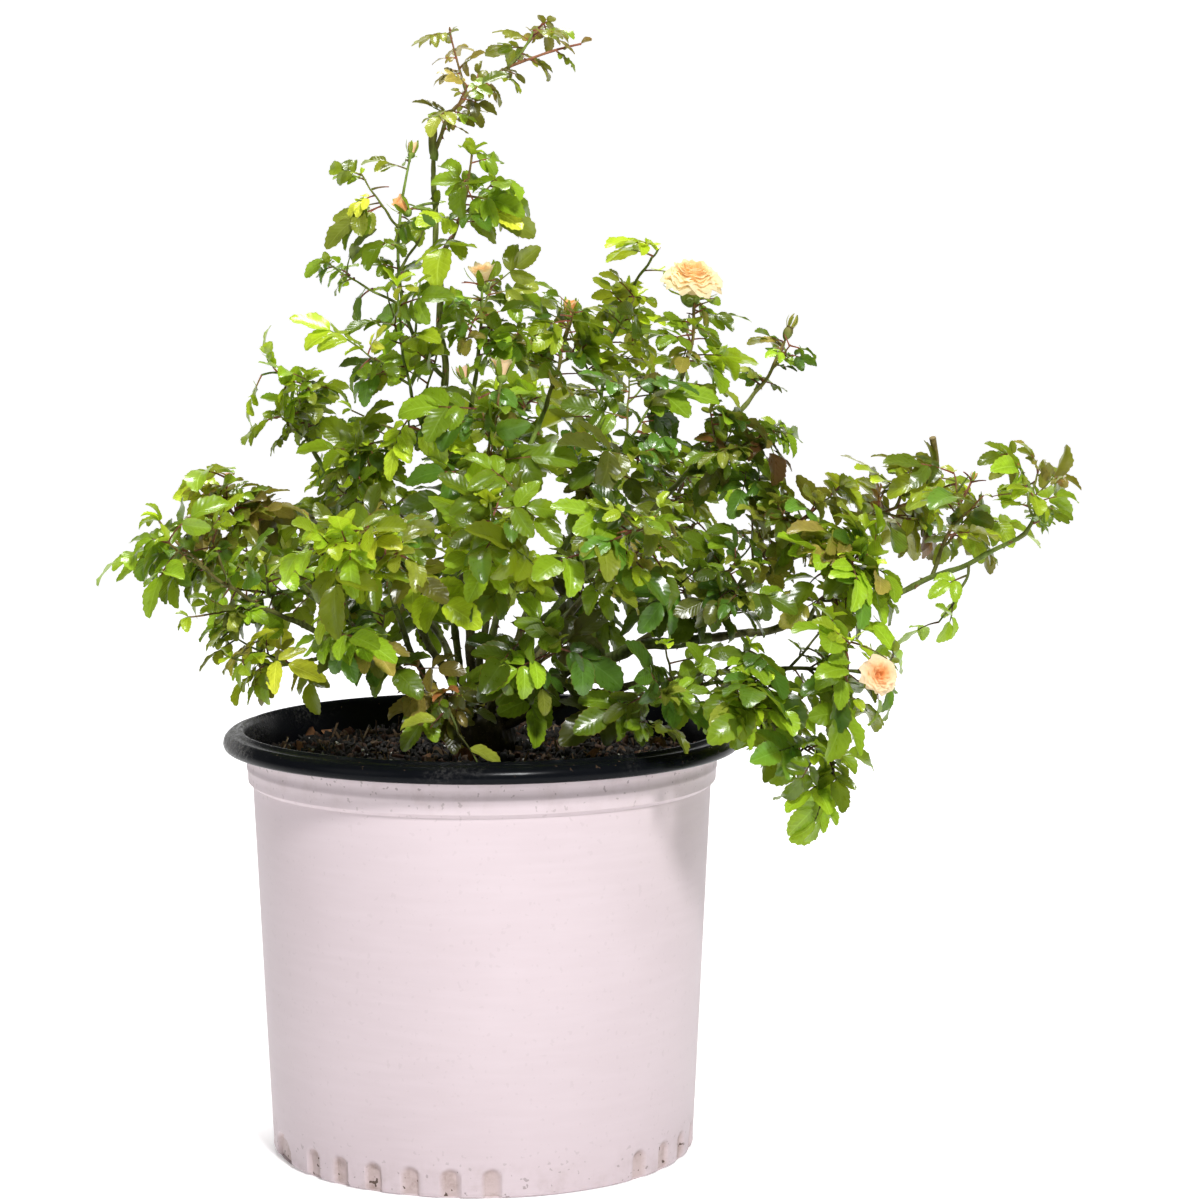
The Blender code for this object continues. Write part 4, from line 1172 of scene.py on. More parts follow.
# %% [markdown]
# ## Stems, twigs and prickles of the sprays
# A spray's stem starts inside its cane, so that no gap shows, and its twigs inside the
# stem.  Young growth is green with a red flush at its tips.  A prickle is a small cone
# with a bent point, set square to the skin.

# %% Spray stems
TINT_STEMS = {
    "leaf_fresh": ("olive", "green"), "leaf_deep": ("olive", "green"),
    "leaf_lime": ("green", "bright"), "leaf_bronze": ("olive", "red"),
}
STEM_SUNK = 2.2 * MM
STEM_WEAVE = 0.5
STEM_BUD_STEP = 13 * MM
TWIG_BUD_STEP = 9 * MM
STEM_RINGS = 40
STEM_ROUND = 8
TWIG_RINGS = 14
TWIG_ROUND = 6
TWIG_SAG = 0.06
RED_TIPS = 0.35                               # the share of sprays whose stem ends red
stem_chance = random.Random(11)
stems = []
twigs = []


def twig_tube(path, radii, colours, weave=STEM_WEAVE):
    """A thin shoot with close buds, as twigs, stray shoots and stubs have."""
    return limb_tube(path, radii, TWIG_RINGS, stem_chance, colours, weave, TWIG_BUD_STEP)


for spray in SPRAYS:
    (start, pull, end), shoots, leaves = growths[spray.name]
    foot_colour, tip_colour = [BARKS[name] for name in TINT_STEMS[spray.tint]]
    if stem_chance.random() < RED_TIPS:
        tip_colour = mixed(tip_colour, BARKS["red"], 0.6)
    path = (sunk_foot(start, pull, STEM_SUNK), pull, end)
    stems.append(limb_tube(path, (STEM_RADIUS, STEM_TIP_RADIUS * 0.8), STEM_RINGS, stem_chance,
                           (foot_colour, tip_colour), STEM_WEAVE, STEM_BUD_STEP))
    for shoot in shoots[1:]:
        foot, tip = shoot.points
        pull = foot.lerp(tip, 0.5) - UP * (tip - foot).length * TWIG_SAG
        colour = mixed(tip_colour, BARKS["red"], stem_chance.uniform(0, 0.5))
        twigs.append(twig_tube((foot, pull, tip), (TWIG_RADIUS * 0.95, TWIG_TIP_RADIUS * 0.7),
                               (foot_colour, colour)))
stem_mesh = lay_tubes("spray_stems", stems, STEM_ROUND, STEM_RINGS)
finish_piece(stem_mesh, bark_finish, "young_bark")

# %% [markdown]
# Ten thin shoots stray out of the masses: two hang under the wing, one over the rim, four
# stand out from the outline, and three bring single pale leaves to the front of the
# bush.  Each leaves the nearest stem or cane and has a leaf family of its own.  Two
# pruned ends stand bare, as a gardener's cut leaves them.

# %% Stray shoots
Stray = namedtuple("Stray", "spray foot tip leaves leaf_size family")
STRAYS = (
    Stray("right_mid_spray", (262, -38, 92), (247, -44, 62), 4, 24, "fresh"),
    Stray("left_top_spray", (-98, 28, 186), (-122, 22, 192), 3, 28, "lime"),
    Stray("left_droop_spray", (-128, -84, 46), (-117, -80, 50), 2, 40, "yellow"),
    Stray("right_droop_spray", (188, -80, -6), (182, -86, -26), 3, 34, "fresh"),
    Stray("tall_top_spray", (18, -10, 356), (29, -10, 378), 3, 20, "olive"),
    Stray("low_front_spray", (0, -96, 28), (-9, -103, 10), 3, 44, "olive"),
    Stray("half_open_spray", (2, -48, 130), (8, -72, 122), 2, 44, "lime"),
    Stray("column_spray", (-34, -58, 94), (-32, -82, 86), 2, 42, "lime"),
    Stray("left_top_spray", (-42, -38, 160), (-36, -60, 168), 2, 38, "lime"),
    Stray("crest_spray", (88, 30, 244), (98, 20, 262), 3, 34, "lime"),
)
STRAY_PULL = 0.25
STRAY_RADII = (0.9 * MM, 0.5 * MM)


def nearest_stem(place):
    """The point of a cane or stem that lies closest to a place, and the direction there."""
    path = min((tube.path for tube in stems + limb_tubes),
               key=lambda path: min((point - place).length for point in path))
    near = min(range(len(path)), key=lambda k: (path[k] - place).length)
    slope = path[min(near + 1, len(path) - 1)] - path[max(near - 1, 0)]
    return path[near], slope.normalized()


stray_curves = []
for stray in STRAYS:
    start, slope = nearest_stem(from_rim(stray.foot))
    end = from_rim(stray.tip)
    pull = start.lerp(end, 0.5) + slope * (end - start).length * STRAY_PULL
    stray_curves.append((start, pull, end))
    twigs.append(twig_tube((start, pull, end), STRAY_RADII, (BARKS["olive"], BARKS["green"])))
    print(stray.spray, "lets out a shoot of", round((end - start).length / MM), "mm")
twig_mesh = lay_tubes("spray_twigs", twigs, TWIG_ROUND, TWIG_RINGS)
finish_piece(twig_mesh, bark_finish, "young_bark")

# %% Cut stubs
STUB_ROUND = 10
CUT_STUBS = (                                 # place of the cut, length, foot and tip radius
    (Vector((-26, -10, 331)), 22, 2.2, 2.0),
    (Vector((248, 10, 158)), 34, 1.4, 1.7),
)


def cut_stub(place, length, foot, tip):
    """A pruned end: it follows the nearest stem up, then leaves it to end in a blunt cut."""
    cut = from_rim(place)
    start, slope = nearest_stem(cut - UP * length * MM)
    pull = start + slope * length * 0.35 * MM
    print("a cut stub is", round((cut - start).length / MM), "mm long")
    colours = (BARKS["green"], mixed(BARKS["olive"], BARKS["red"], 0.4))
    return twig_tube((start, pull, cut), (foot * MM, tip * MM), colours, weave=0.3)


stub_mesh = lay_tubes("cut_stubs", [cut_stub(*stub) for stub in CUT_STUBS], STUB_ROUND, TWIG_RINGS)
finish_piece(stub_mesh, bark_finish, "young_bark")


# %% Prickles
def prickle_pattern():
    """A cone two units high whose point bends down towards -x."""
    bm = bmesh.new()
    bmesh.ops.create_cone(bm, cap_ends=True, segments=5, radius1=1.0, radius2=0.05, depth=2)
    bmesh.ops.translate(bm, verts=bm.verts, vec=(0, 0, 0.9))
    everything = bm.verts[:] + bm.edges[:] + bm.faces[:]
    bmesh.ops.bisect_plane(bm, geom=everything, plane_co=(0, 0, 0.8), plane_no=(0, 0, 1))
    for vert in bm.verts:
        vert.co.x = vert.co.x * (0.45 + 0.8 * (vert.co.z < 0.1)) - 0.30 * max(0, vert.co.z) ** 2
        vert.co.y *= 0.45
    return pattern_from(bm)


PRICKLES = ((limb_tubes, 9 * MM, 2.6 * MM), (stems, 11 * MM, 1.9 * MM))
prickle = prickle_pattern()
prickle_places = []
prickle_tints = []


def prickles_on(tubes, step, height):
    """Add prickles along tubes, about one to each step of length."""
    for tube in tubes:
        points, across, beside = tube_frames(tube.path)
        length = np.linalg.norm(np.diff(points, axis=0), axis=1).sum()
        for k in range(int(length / step)):
            ring = stem_chance.randrange(2, len(points) - 2)
            turn = stem_chance.uniform(0, math.tau)
            out = across[ring] * math.cos(turn) + beside[ring] * math.sin(turn)
            slope = points[ring + 1] - points[ring - 1]
            slope /= np.linalg.norm(slope)
            axes = np.array((slope, np.cross(out, slope), out))
            size = stem_chance.uniform(0.7, 1.2) * height / 2
            foot = points[ring] + out * tube.radii[ring] * 0.92
            tint = mixed(tube.tip_colour, BARKS["red"], stem_chance.uniform(0.3, 0.9))
            prickle_places.append(prickle.coords * size @ axes + foot)
            prickle_tints.extend([tint] * len(prickle.coords))


for tubes, step, height in PRICKLES:
    prickles_on(tubes, step, height)
prickle_mesh = join_copies("prickles", prickle, np.array(prickle_places))
paint(prickle_mesh, "bark_colour", prickle_tints)
finish_piece(prickle_mesh, bark_finish, "young_bark")
print(len(prickle_places), "prickles")

# %% [markdown]
# ## Leaves
# A rose leaf is compound: a thin stalk carries one to three pairs of toothed leaflets
# and a larger one at its end.  One leaflet is shaped from a small grid, with its points
# kept as shares along and across the blade.  Every leaflet then bends, folds and turns
# its own copy of that grid.  Thousands of them stay light, and each keeps a true outline.

# %% The leaflet's pattern
BLADE_STEPS = 14
BLADE_STRIPS = 4
BLADE_LEAST = 0.035                           # the narrowest width, at both ends
TOOTH_OUT, NOTCH_IN = 0.055, 0.040
TOOTH_LEAN, NOTCH_LEAN = 0.30, 0.10
blade = share_grid(BLADE_STEPS, BLADE_STRIPS)
along = blade.coords[:, 0]
across = blade.coords[:, 1]
station = np.rint(along * BLADE_STEPS).astype(int)
outline = along ** 0.60 * (1 - along) ** 0.70
outline = np.maximum(outline / outline.max(), BLADE_LEAST)
is_edge = np.abs(across) > 0.99
inside = (station > 0) & (station < BLADE_STEPS)
tooth = is_edge & inside & (station % 2 == 1)
notch = is_edge & inside & (station % 2 == 0)
outline = outline * (1 + TOOTH_OUT * tooth - NOTCH_IN * notch)
along = along + (TOOTH_LEAN * tooth - NOTCH_LEAN * notch) / BLADE_STEPS
print(len(blade.coords), "points in a leaflet, which has", BLADE_STEPS // 2, "teeth a side")

# %% [markdown]
# ## Colours dealt out by spray
# Leaves of one spray share an age, so each spray draws from a short mix of plain
# colours: bronze where growth is young, lime where it is soft, deep green in the shade.
# Each colour comes in six steps, darker and lighter copies that hold some tone and painted
# light and shade: leaves deep inside the bush take dark steps, those high, far out or in
# front light ones.  A leaflet's colour and step pick one cell of a grid on its texture
# map, so leaflets that share a cell also share one drawn pattern.

# %% Leaf colours
LEAF_COLOURS = {
    "fresh": (0.215, 0.345, 0.014),
    "deep": (0.082, 0.185, 0.018),
    "lime": (0.370, 0.490, 0.018),
    "yellow": (0.490, 0.510, 0.035),
    "olive": (0.215, 0.245, 0.026),
    "bronze": (0.260, 0.205, 0.040),
    "red": (0.290, 0.110, 0.035),
}
FAMILIES = tuple(LEAF_COLOURS)
# each step is a darker or lighter copy of a colour, so it carries tone and painted light and shade
TONE_AND_LIGHT_STEPS = (0.24, 0.48, 0.80, 1.12, 1.48, 1.90)
DARKEST, LIGHTEST = 0, len(TONE_AND_LIGHT_STEPS) - 1
MIXES = {
    "leaf_fresh": (("fresh", 9), ("deep", 5), ("lime", 4), ("olive", 3), ("bronze", 2)),
    "leaf_deep": (("deep", 7), ("fresh", 8), ("olive", 4), ("lime", 1), ("bronze", 2)),
    "leaf_lime": (("lime", 6), ("fresh", 8), ("deep", 4), ("olive", 1), ("yellow", 1),
                  ("bronze", 1)),
    "leaf_bronze": (("bronze", 6), ("olive", 6), ("fresh", 7), ("lime", 1), ("red", 2)),
}
WING_MIX = (("fresh", 10), ("olive", 4), ("lime", 4), ("deep", 3), ("bronze", 1), ("red", 1))
WING_SPRAYS = ("wing_bud_spray", "wing_top_spray", "wing_base_spray", "wing_tip_spray",
               "right_shoulder_spray")
TOP_MIX = (("fresh", 8), ("lime", 5), ("deep", 3), ("olive", 2), ("yellow", 1))
TOP_SPRAYS = ("tall_side_spray", "shoulder_spray", "column_spray")
SPRAY_MIXES = {name: WING_MIX for name in WING_SPRAYS} | {name: TOP_MIX for name in TOP_SPRAYS}
TIP_FAMILIES = {"leaf_fresh": "lime", "leaf_deep": "olive", "leaf_lime": "lime",
                "leaf_bronze": "red"}


def pick(mix, chance):
    """Draw one colour family from a mix of names and weights."""
    return chance.choices([name for name, weight in mix], [weight for name, weight in mix])[0]


print(len(FAMILIES) * len(TONE_AND_LIGHT_STEPS), "colours of leaf")

# %% Room for leaflets
# a leaflet's shade is its step of tone and painted light
Leaflet = namedtuple("Leaflet", "root heading face length width fold curl twist wave family shade")
RACHIS_SHARE = 0.56
PAIRS = {3: (0.70,), 5: (0.46, 0.80), 7: (0.34, 0.60, 0.86)}
PAIR_SIZES = {3: (0.52,), 5: (0.42, 0.51), 7: (0.34, 0.41, 0.47)}
END_SIZE = 0.60
LEAF_GAP = 2.9 * MM
leaf_cells = {}


def roomy(point):
    """Whether no leaflet has its middle close to this point yet; if so it is noted."""
    key = tuple(int(part // LEAF_GAP) for part in point)
    for x in (-1, 0, 1):
        for y in (-1, 0, 1):
            for z in (-1, 0, 1):
                for other in leaf_cells.get((key[0] + x, key[1] + y, key[2] + z), ()):
                    if (other - point).length < LEAF_GAP:
                        return False
    leaf_cells.setdefault(key, []).append(point)
    return True


FLOWER_CROWD = 0.42                           # the share of a leaflet that may reach over
HEAD_ROOMS = {"bloom": 17 * MM, "rose": 13.5 * MM, "half": 12 * MM, "bud": 7 * MM, "hip": 5 * MM}
HEAD_REACH = 110 * MM
LOOSE_HEADS = (
    ((14, -70, 202), 9.0, 12, 0.40, "peach"),
    ((-8, -60, 198), 6.6, 9, 0.30, "blush"),
    ((-43, -24, 286), 8.0, 9, 0.22, "orange"),
)
LOOSE_ROOM = 1.2
flower_heads = [(stem_points(spray.name)[-1], HEAD_ROOMS[spray.ending])
                for spray in SPRAYS if spray.ending in HEAD_ROOMS]
flower_heads += [(from_rim(place), radius * MM * LOOSE_ROOM)
                 for place, radius, *rest in LOOSE_HEADS]
print(len(flower_heads), "flowers, buds and hips keep their own room")


def hides_flower(middle, length):
    """Whether a leaflet would crowd a flower, or stand close before its front."""
    for place, room in flower_heads:
        off = middle - place
        aside = math.hypot(off.x, off.z)
        if -room < -off.y < HEAD_REACH and aside < room + FLOWER_CROWD * length:
            return True
    return False


# %% Growing compound leaves
LEAFLET_WIDTHS = (0.53, 0.68)
STALK_STEPS = 5
STALK_RADII = (0.70, 0.34)                    # millimetres, at its foot and at its tip
LEAFLET_COUNTS = ((3, 5, 7), (3, 10, 2))      # how many, and how often
EXTRA_STEM_LEAVES = 9
EXTRA_TWIG_LEAVES = 4
CROWN_REACH = 200 * MM                        # leaves this far out, up or forward take light steps of painted light
CROWN_RISE = 220 * MM
FRONT_REACH = 120 * MM


def add_leaflet(leaflets, root, heading, face, length, family, shade, chance, soft=1.0):
    """Add a leaflet if it is clear of the pot, the flowers and the other leaflets."""
    heading = heading.normalized()
    face = (face - heading * face.dot(heading)).normalized()
    middle = root + heading * length * 0.5
    drop = UP * length * 0.15
    if not clear_of_pot(middle) or not clear_of_pot(root + heading * length - drop):
        return
    if hides_flower(middle, length) or not roomy(middle):
        return
    shade = min(LIGHTEST, max(DARKEST, shade + chance.choice((-1, 0, 0, 0, 1))))
    leaflets.append(Leaflet(root, heading, face, length, length * chance.uniform(*LEAFLET_WIDTHS),
                            chance.uniform(0.08, 0.52) * soft, chance.uniform(0.10, 1.05) * soft,
                            chance.uniform(-0.35, 0.35), chance.uniform(0, math.tau), family, shade))


def grow_leaf(leaf, family, shade, chance, leaflets, stalks, colours):
    """Grow a stalk and its leaflets from one leaf place."""
    heading, face = leaf_axes(leaf)
    beside = face.cross(heading)
    count = chance.choices(*LEAFLET_COUNTS)[0]
    droop = chance.uniform(0.10, 0.65)
    sway = chance.uniform(-0.25, 0.25)
    reach = RACHIS_SHARE * leaf.length
    path = [leaf.root]
    slopes = [heading]
    for k in range(1, STALK_STEPS + 1):
        angle = droop * k / STALK_STEPS
        slope = heading * math.cos(angle) - face * math.sin(angle) + beside * sway * k / STALK_STEPS
        slopes.append(slope.normalized())
        path.append(path[-1] + slopes[-1] * reach / STALK_STEPS)
    radii = np.linspace(*STALK_RADII, STALK_STEPS + 1) * MM
    stalks.append(Tube(path, radii, *colours))
    end_length = END_SIZE * leaf.length * chance.uniform(0.9, 1.15)
    add_leaflet(leaflets, path[-1], slopes[-1], face + heading * droop, end_length,
                family, shade, chance)
    for at, size in zip(PAIRS[count], PAIR_SIZES[count]):
        place, slope = place_on(path, at)
        for side in (-1, 1):
            angle = math.radians(chance.uniform(50, 74))
            way = slope * math.cos(angle) + beside * side * math.sin(angle)
            way += UP * chance.uniform(-0.22, 0.10)
            look = face + beside * side * chance.uniform(-0.30, 0.12)
            look += random_vector(chance, 0.22)
            root = place + slope * side * 0.4 * MM
            length = size * leaf.length * chance.uniform(0.88, 1.14)
            add_leaflet(leaflets, root, way, look, length, family, shade, chance)


def extra_places(spray, shoots, chance):
    """More places on the same shoots, for leaves too small for the solid to hold."""
    for number, shoot in enumerate(shoots):
        for k in range(EXTRA_STEM_LEAVES if number == 0 else EXTRA_TWIG_LEAVES):
            root, slope = place_on(shoot.points, chance.uniform(0.25, 1.0))
            tilt = random_vector(chance, LEAF_TILT)
            long = spray.leaf_size * MM * chance.uniform(0.44, 0.80)
            yield Leaf(number, root, slope, chance.uniform(0, math.tau), tilt, long)


def grow_tip(point, slope, size, family, chance, leaflets):
    """A tuft of small unfolding leaflets at the end of a shoot."""
    for k in range(chance.randint(3, 5)):
        way = out_from(slope, LEAF_TURN * k) * chance.uniform(0.5, 1.1) + slope + UP * 0.25
        look = UP + random_vector(chance, 0.5)
        add_leaflet(leaflets, point, way, look, size * chance.uniform(0.6, 1.1), family,
                    chance.randint(1, 5), chance, soft=1.5)


def tone_and_painted_light_at(root, chance):
    """Painted light and shade: leaves high up, far out or in front take lighter steps than those inside
    the bush, with a random share of tone.
    """
    out = min(1.2, math.hypot(root.x, root.y) / CROWN_REACH)
    high = min(1.2, (root.z - POT_HEIGHT) / CROWN_RISE)
    front = max(0.0, -root.y / FRONT_REACH)
    return round(1.6 * out + 1.5 * high + 0.7 * front + chance.gauss(0, 1.5))


print("leaves are drawn by one rule, in shades from", DARKEST, "to", LIGHTEST)

# %% [markdown]
# ## Leaves on every shoot
# A spray first takes the leaves that its solid holds, then smaller ones wherever its own
# space has room.  Where leaves are large there are fewer of the small ones.  Sizes are
# also drawn together, because a rose's leaves differ less than their places would say.

# %% Leaves of the sprays
LEAF_LEAST = 6 * MM
LEAF_SHARE = 0.70
LEAF_SPREAD = (0.66, 1.18)
SPARE_SIZE = 0.8
STALK_FOOTS = ("olive", "red", "maroon", "red")
STALK_TIPS = ("green", "red", "red")
STRAY_STALK_TIPS = ("green", "bright", "red")
STEM_TUFT, TWIG_TUFT = 0.34, 0.26
BIG_LEAVED = {
    "tall_side_spray": 1.22, "shoulder_spray": 1.20, "column_spray": 1.15,
    "wing_bud_spray": 1.38, "wing_tip_spray": 1.30, "wing_top_spray": 1.25,
    "wing_base_spray": 1.12, "right_mid_spray": 1.10, "right_base_spray": 1.20,
    "right_droop_spray": 1.20, "low_right_spray": 1.25, "right_bloom_spray": 1.12,
    "low_centre_spray": 1.15, "bronze_spray": 1.15, "left_low_spray": 1.15,
}
THINNED = set(BIG_LEAVED) - {"shoulder_spray", "column_spray"}
LEAF_SEED = 300
spray_leaflets = {}
stalks = []


def stalk_colours(tips, chance):
    """Bark colours for a leaf stalk's foot and tip."""
    return BARKS[chance.choice(STALK_FOOTS)], BARKS[chance.choice(tips)]


def leaves_to_grow(spray, chance):
    """The leaves that the solid holds, and the small ones that its space has room for."""
    curve, shoots, leaves = growths[spray.name]
    kept = held[spray.name]
    spare = [leaf._replace(length=leaf.length * SPARE_SIZE)
             for leaf, solid_leaf in zip(leaves, kept) if solid_leaf is None]
    spare += list(extra_places(spray, shoots, chance))
    if spray.name in THINNED:
        spare = [leaf for leaf in spare if chance.random() * BIG_LEAVED[spray.name] ** 3 < 1]
    grown = [leaf for leaf in kept if leaf is not None]
    for leaf in spare:
        heading, face = leaf_axes(leaf)
        if in_space(leaf.root + heading * leaf.length * 0.65, spray.name):
            grown.append(leaf)
    return grown


def dress_spray(spray, chance, leaflets):
    """Grow every leaf of a spray, then a tuft at the end of each bare shoot."""
    mix = SPRAY_MIXES.get(spray.name, MIXES[spray.tint])
    for leaf in leaves_to_grow(spray, chance):
        length = (LEAF_LEAST + LEAF_SHARE * leaf.length) * chance.uniform(*LEAF_SPREAD)
        leaf = leaf._replace(length=length * BIG_LEAVED.get(spray.name, 1.0))
        family = pick(mix, chance)
        colours = stalk_colours(STALK_TIPS, chance)
        grow_leaf(leaf, family, tone_and_painted_light_at(leaf.root, chance), chance, leaflets, stalks, colours)
    family = "olive" if spray.name in WING_SPRAYS else TIP_FAMILIES[spray.tint]
    for number, shoot in enumerate(growths[spray.name][1]):
        if number == 0 and spray.ending != "leaf":
            continue
        slope = (shoot.points[-1] - shoot.points[-2]).normalized()
        size = spray.leaf_size * MM * (TWIG_TUFT if number else STEM_TUFT)
        grow_tip(shoot.points[-1], slope, size, family, chance, leaflets)


for number, spray in enumerate(SPRAYS):
    spray_leaflets[spray.name] = []
    dress_spray(spray, random.Random(LEAF_SEED + number), spray_leaflets[spray.name])
print(sum(map(len, spray_leaflets.values())), "leaflets on", len(stalks), "stalks")

# %% Leaves of the stray shoots
for number, (stray, curve) in enumerate(zip(STRAYS, stray_curves)):
    chance = random.Random(LEAF_SEED + len(SPRAYS) + number)
    for k in range(stray.leaves):
        share = (k + 1) / stray.leaves
        tilt = random_vector(chance, LEAF_TILT)
        length = stray.leaf_size * MM * chance.uniform(0.85, 1.1)
        leaf = Leaf(0, bezier(*curve, share), bezier_slope(*curve, share), LEAF_TURN * k, tilt, length)
        colours = stalk_colours(STRAY_STALK_TIPS, chance)
        # stray leaves take the lighter steps of painted light
        grow_leaf(leaf, stray.family, chance.randint(3, 5), chance, spray_leaflets[stray.spray],
                  stalks, colours)
print("with the stray shoots,", sum(map(len, spray_leaflets.values())), "leaflets")


# %% Laying the blades
LIP_WAVE = 0.035
LIP_WAVES = 14
TOOTH_LIFT = 0.0015
CELL_MARGIN = 0.04                            # keeps each blade's map clear of the next cell


def lay_blades(name, leaflets):
    """One mesh of leaflets, with a map that each blade repeats and a cell for each colour."""
    def column(field):
        return np.array([getattr(leaflet, field) for leaflet in leaflets])[:, None]

    length, width, fold = column("length"), column("width"), column("fold")
    curl, twist, wave = column("curl"), column("twist"), column("wave")
    arc = curl * along
    forward = length * np.sin(arc) / curl
    sink = length * (1 - np.cos(arc)) / curl
    half = width / 2 * outline * np.abs(across)
    side = half * np.cos(fold) * np.sign(across)
    lift = half * np.sin(fold) + LIP_WAVE * width * np.sin(LIP_WAVES * along + wave) * across ** 2
    lift = lift + TOOTH_LIFT * length * np.abs(across) * (station % 2)
    turn = twist * along
    side, lift = side * np.cos(turn) - lift * np.sin(turn), side * np.sin(turn) + lift * np.cos(turn)
    ahead = forward + lift * np.sin(arc)
    height = lift * np.cos(arc) - sink
    root, heading, face = [np.array([tuple(getattr(leaflet, field)) for leaflet in leaflets])[:, None, :]
                           for field in ("root", "heading", "face")]
    beside = np.cross(face, heading)
    places = root + heading * ahead[..., None] + beside * side[..., None] + face * height[..., None]
    mesh = join_copies(name, blade, places)
    shares = np.stack((blade.coords[:, 0], blade.coords[:, 1] / 2 + 0.5), axis=1)[blade.loops]
    cell = np.array([(FAMILIES.index(leaflet.family), leaflet.shade) for leaflet in leaflets])[:, None, :]
    cells = cell + CELL_MARGIN + (1 - 2 * CELL_MARGIN) * shares[None]
    cells = cells / (len(FAMILIES), len(TONE_AND_LIGHT_STEPS))
    mesh.uv_layers.new(name="OFBake").data.foreach_set("uv", cells.astype(np.float32).ravel())
    repeat = np.tile(shares, (len(leaflets), 1))
    mesh.uv_layers.new(name="blade").data.foreach_set("uv", repeat.astype(np.float32).ravel())
    # the kept colour is the family's colour scaled by its step, with painted light and shade in it
    colours = [np.array(LEAF_COLOURS[leaflet.family]) * TONE_AND_LIGHT_STEPS[leaflet.shade] for leaflet in leaflets]
    paint(mesh, "leaf_colour_and_light", np.repeat(colours, len(blade.coords), axis=0))
    return mesh


print("each blade is laid as", len(blade.starts), "faces")


# %% Leaf finish
def rose_leaf(shade):
    """A glossy blade: a pale midrib, side veins that sweep forward, a fine reddish edge."""
    share = shade.node("UVMap", {"uv_map": "blade"})
    cell = shade.node("UVMap", {"uv_map": "OFBake"})
    own = shade.kept("leaf_colour_and_light")
    u = share.part("x")
    out = shade.math("ABSOLUTE", share.part("y") * 2 - 1)
    midrib = out.fit(0.075, 0.02)
    sweep = u * 8.0 - shade.math("POWER", out, 0.8) * 1.9
    from_vein = shade.math("ABSOLUTE", shade.math("FRACT", sweep) * 2 - 1)
    veins = from_vein.fit(0.80, 0.98) * out.fit(1.0, 0.75)
    mottle = shade.noise(cell, 30.0, 4.0, 0.6)
    blotch = shade.noise(cell, 95.0, 2.0).fit(0.70, 0.76)
    edge = out.fit(0.93, 1.0)
    light = own.toned(1.38, 0.92)
    dark = own.toned(0.78)
    colour = mottle.fit(0.32, 0.68).mix(dark, own)
    colour = (veins * 0.32).mix(colour, light)
    colour = (midrib * 0.60).mix(colour, light)
    colour = (blotch * 0.5).mix(colour, (0.12, 0.055, 0.02))
    colour = (edge * 0.42).mix(colour, (0.24, 0.085, 0.03))
    quilt = from_vein.fit(0.0, 1.0) * -0.8 - midrib * 1.2 + mottle * 0.35
    rough = 0.20 + mottle * 0.20
    return {"Base Color": colour, "Roughness": rough, "Normal": shade.bump(quilt, 0.0006, 0.17)}


STALK_ROUND = 4
GLOWS = {"leaf_fresh": ((0.50, 0.68, 0.03), 0.24), "leaf_deep": ((0.30, 0.46, 0.02), 0.15),
         "leaf_lime": ((0.76, 0.86, 0.04), 0.22), "leaf_bronze": ((0.56, 0.50, 0.05), 0.18)}
PIECES = (                                    # the fresh leaves are too many for one piece
    ("fresh_leaves_left", "leaf_fresh", "fresh_leaf", lambda x, y: y <= 0 and x <= 40),
    ("fresh_leaves_right", "leaf_fresh", "fresh_leaf", lambda x, y: y <= 0 and x > 40),
    ("fresh_leaves_back", "leaf_fresh", "fresh_leaf", lambda x, y: y > 0),
    ("deep_leaves", "leaf_deep", "deep_leaf", lambda x, y: True),
    ("lime_leaves", "leaf_lime", "lime_leaf", lambda x, y: True),
    ("bronze_leaves", "leaf_bronze", "bronze_leaf", lambda x, y: True),
)
for name, tint, slot, stands_there in PIECES:
    members = [spray.name for spray in SPRAYS
               if spray.tint == tint and stands_there(*spray.tip[:2])]
    mesh = lay_blades(name, [leaflet for member in members for leaflet in spray_leaflets[member]])
    glow, through = GLOWS[tint]
    material = new_finish(name, rose_leaf, 0.4, through=through, glow=glow, Specular_IOR_Level=0.42,
                          Coat_Weight=0.34, Coat_Roughness=0.16)
    finish_piece(mesh, material, slot, *members)
stalk_mesh = lay_tubes("leaf_stalks", stalks, STALK_ROUND, STALK_STEPS + 1)
finish_piece(stalk_mesh, bark_finish, "young_bark")

# %% [markdown]
# ## Blooms, buds and a spent hip
# A full rose is dozens of petals in a spiral.  Each petal is a strip of a bowl: the
# inner ones stand upright and wrap the heart, the outer ones open wide and roll their
# lips down.  So one small grid is enough, bent round the flower's axis by how far out
# its petal is.  Buds are the same with few petals held tight, in five green sepals.

# %% Petals
PETAL_STEPS = 7
PETAL_STRIPS = 8
PETAL_COLOURS = {
    "apricot": ((0.97, 0.83, 0.56), (0.96, 0.63, 0.29)),
    "peach": ((0.97, 0.76, 0.54), (0.96, 0.50, 0.20)),
    "cream": ((0.97, 0.84, 0.58), (0.96, 0.66, 0.34)),
    "orange": ((0.95, 0.52, 0.24), (0.92, 0.33, 0.10)),
    "blush": ((0.97, 0.66, 0.52), (0.95, 0.62, 0.34)),
}
GOLDEN_TURN = math.radians(137.5)
FLOWER_SUNK = 0.80                            # a petal's foot below the middle, in radii
petal = share_grid(PETAL_STEPS, PETAL_STRIPS)


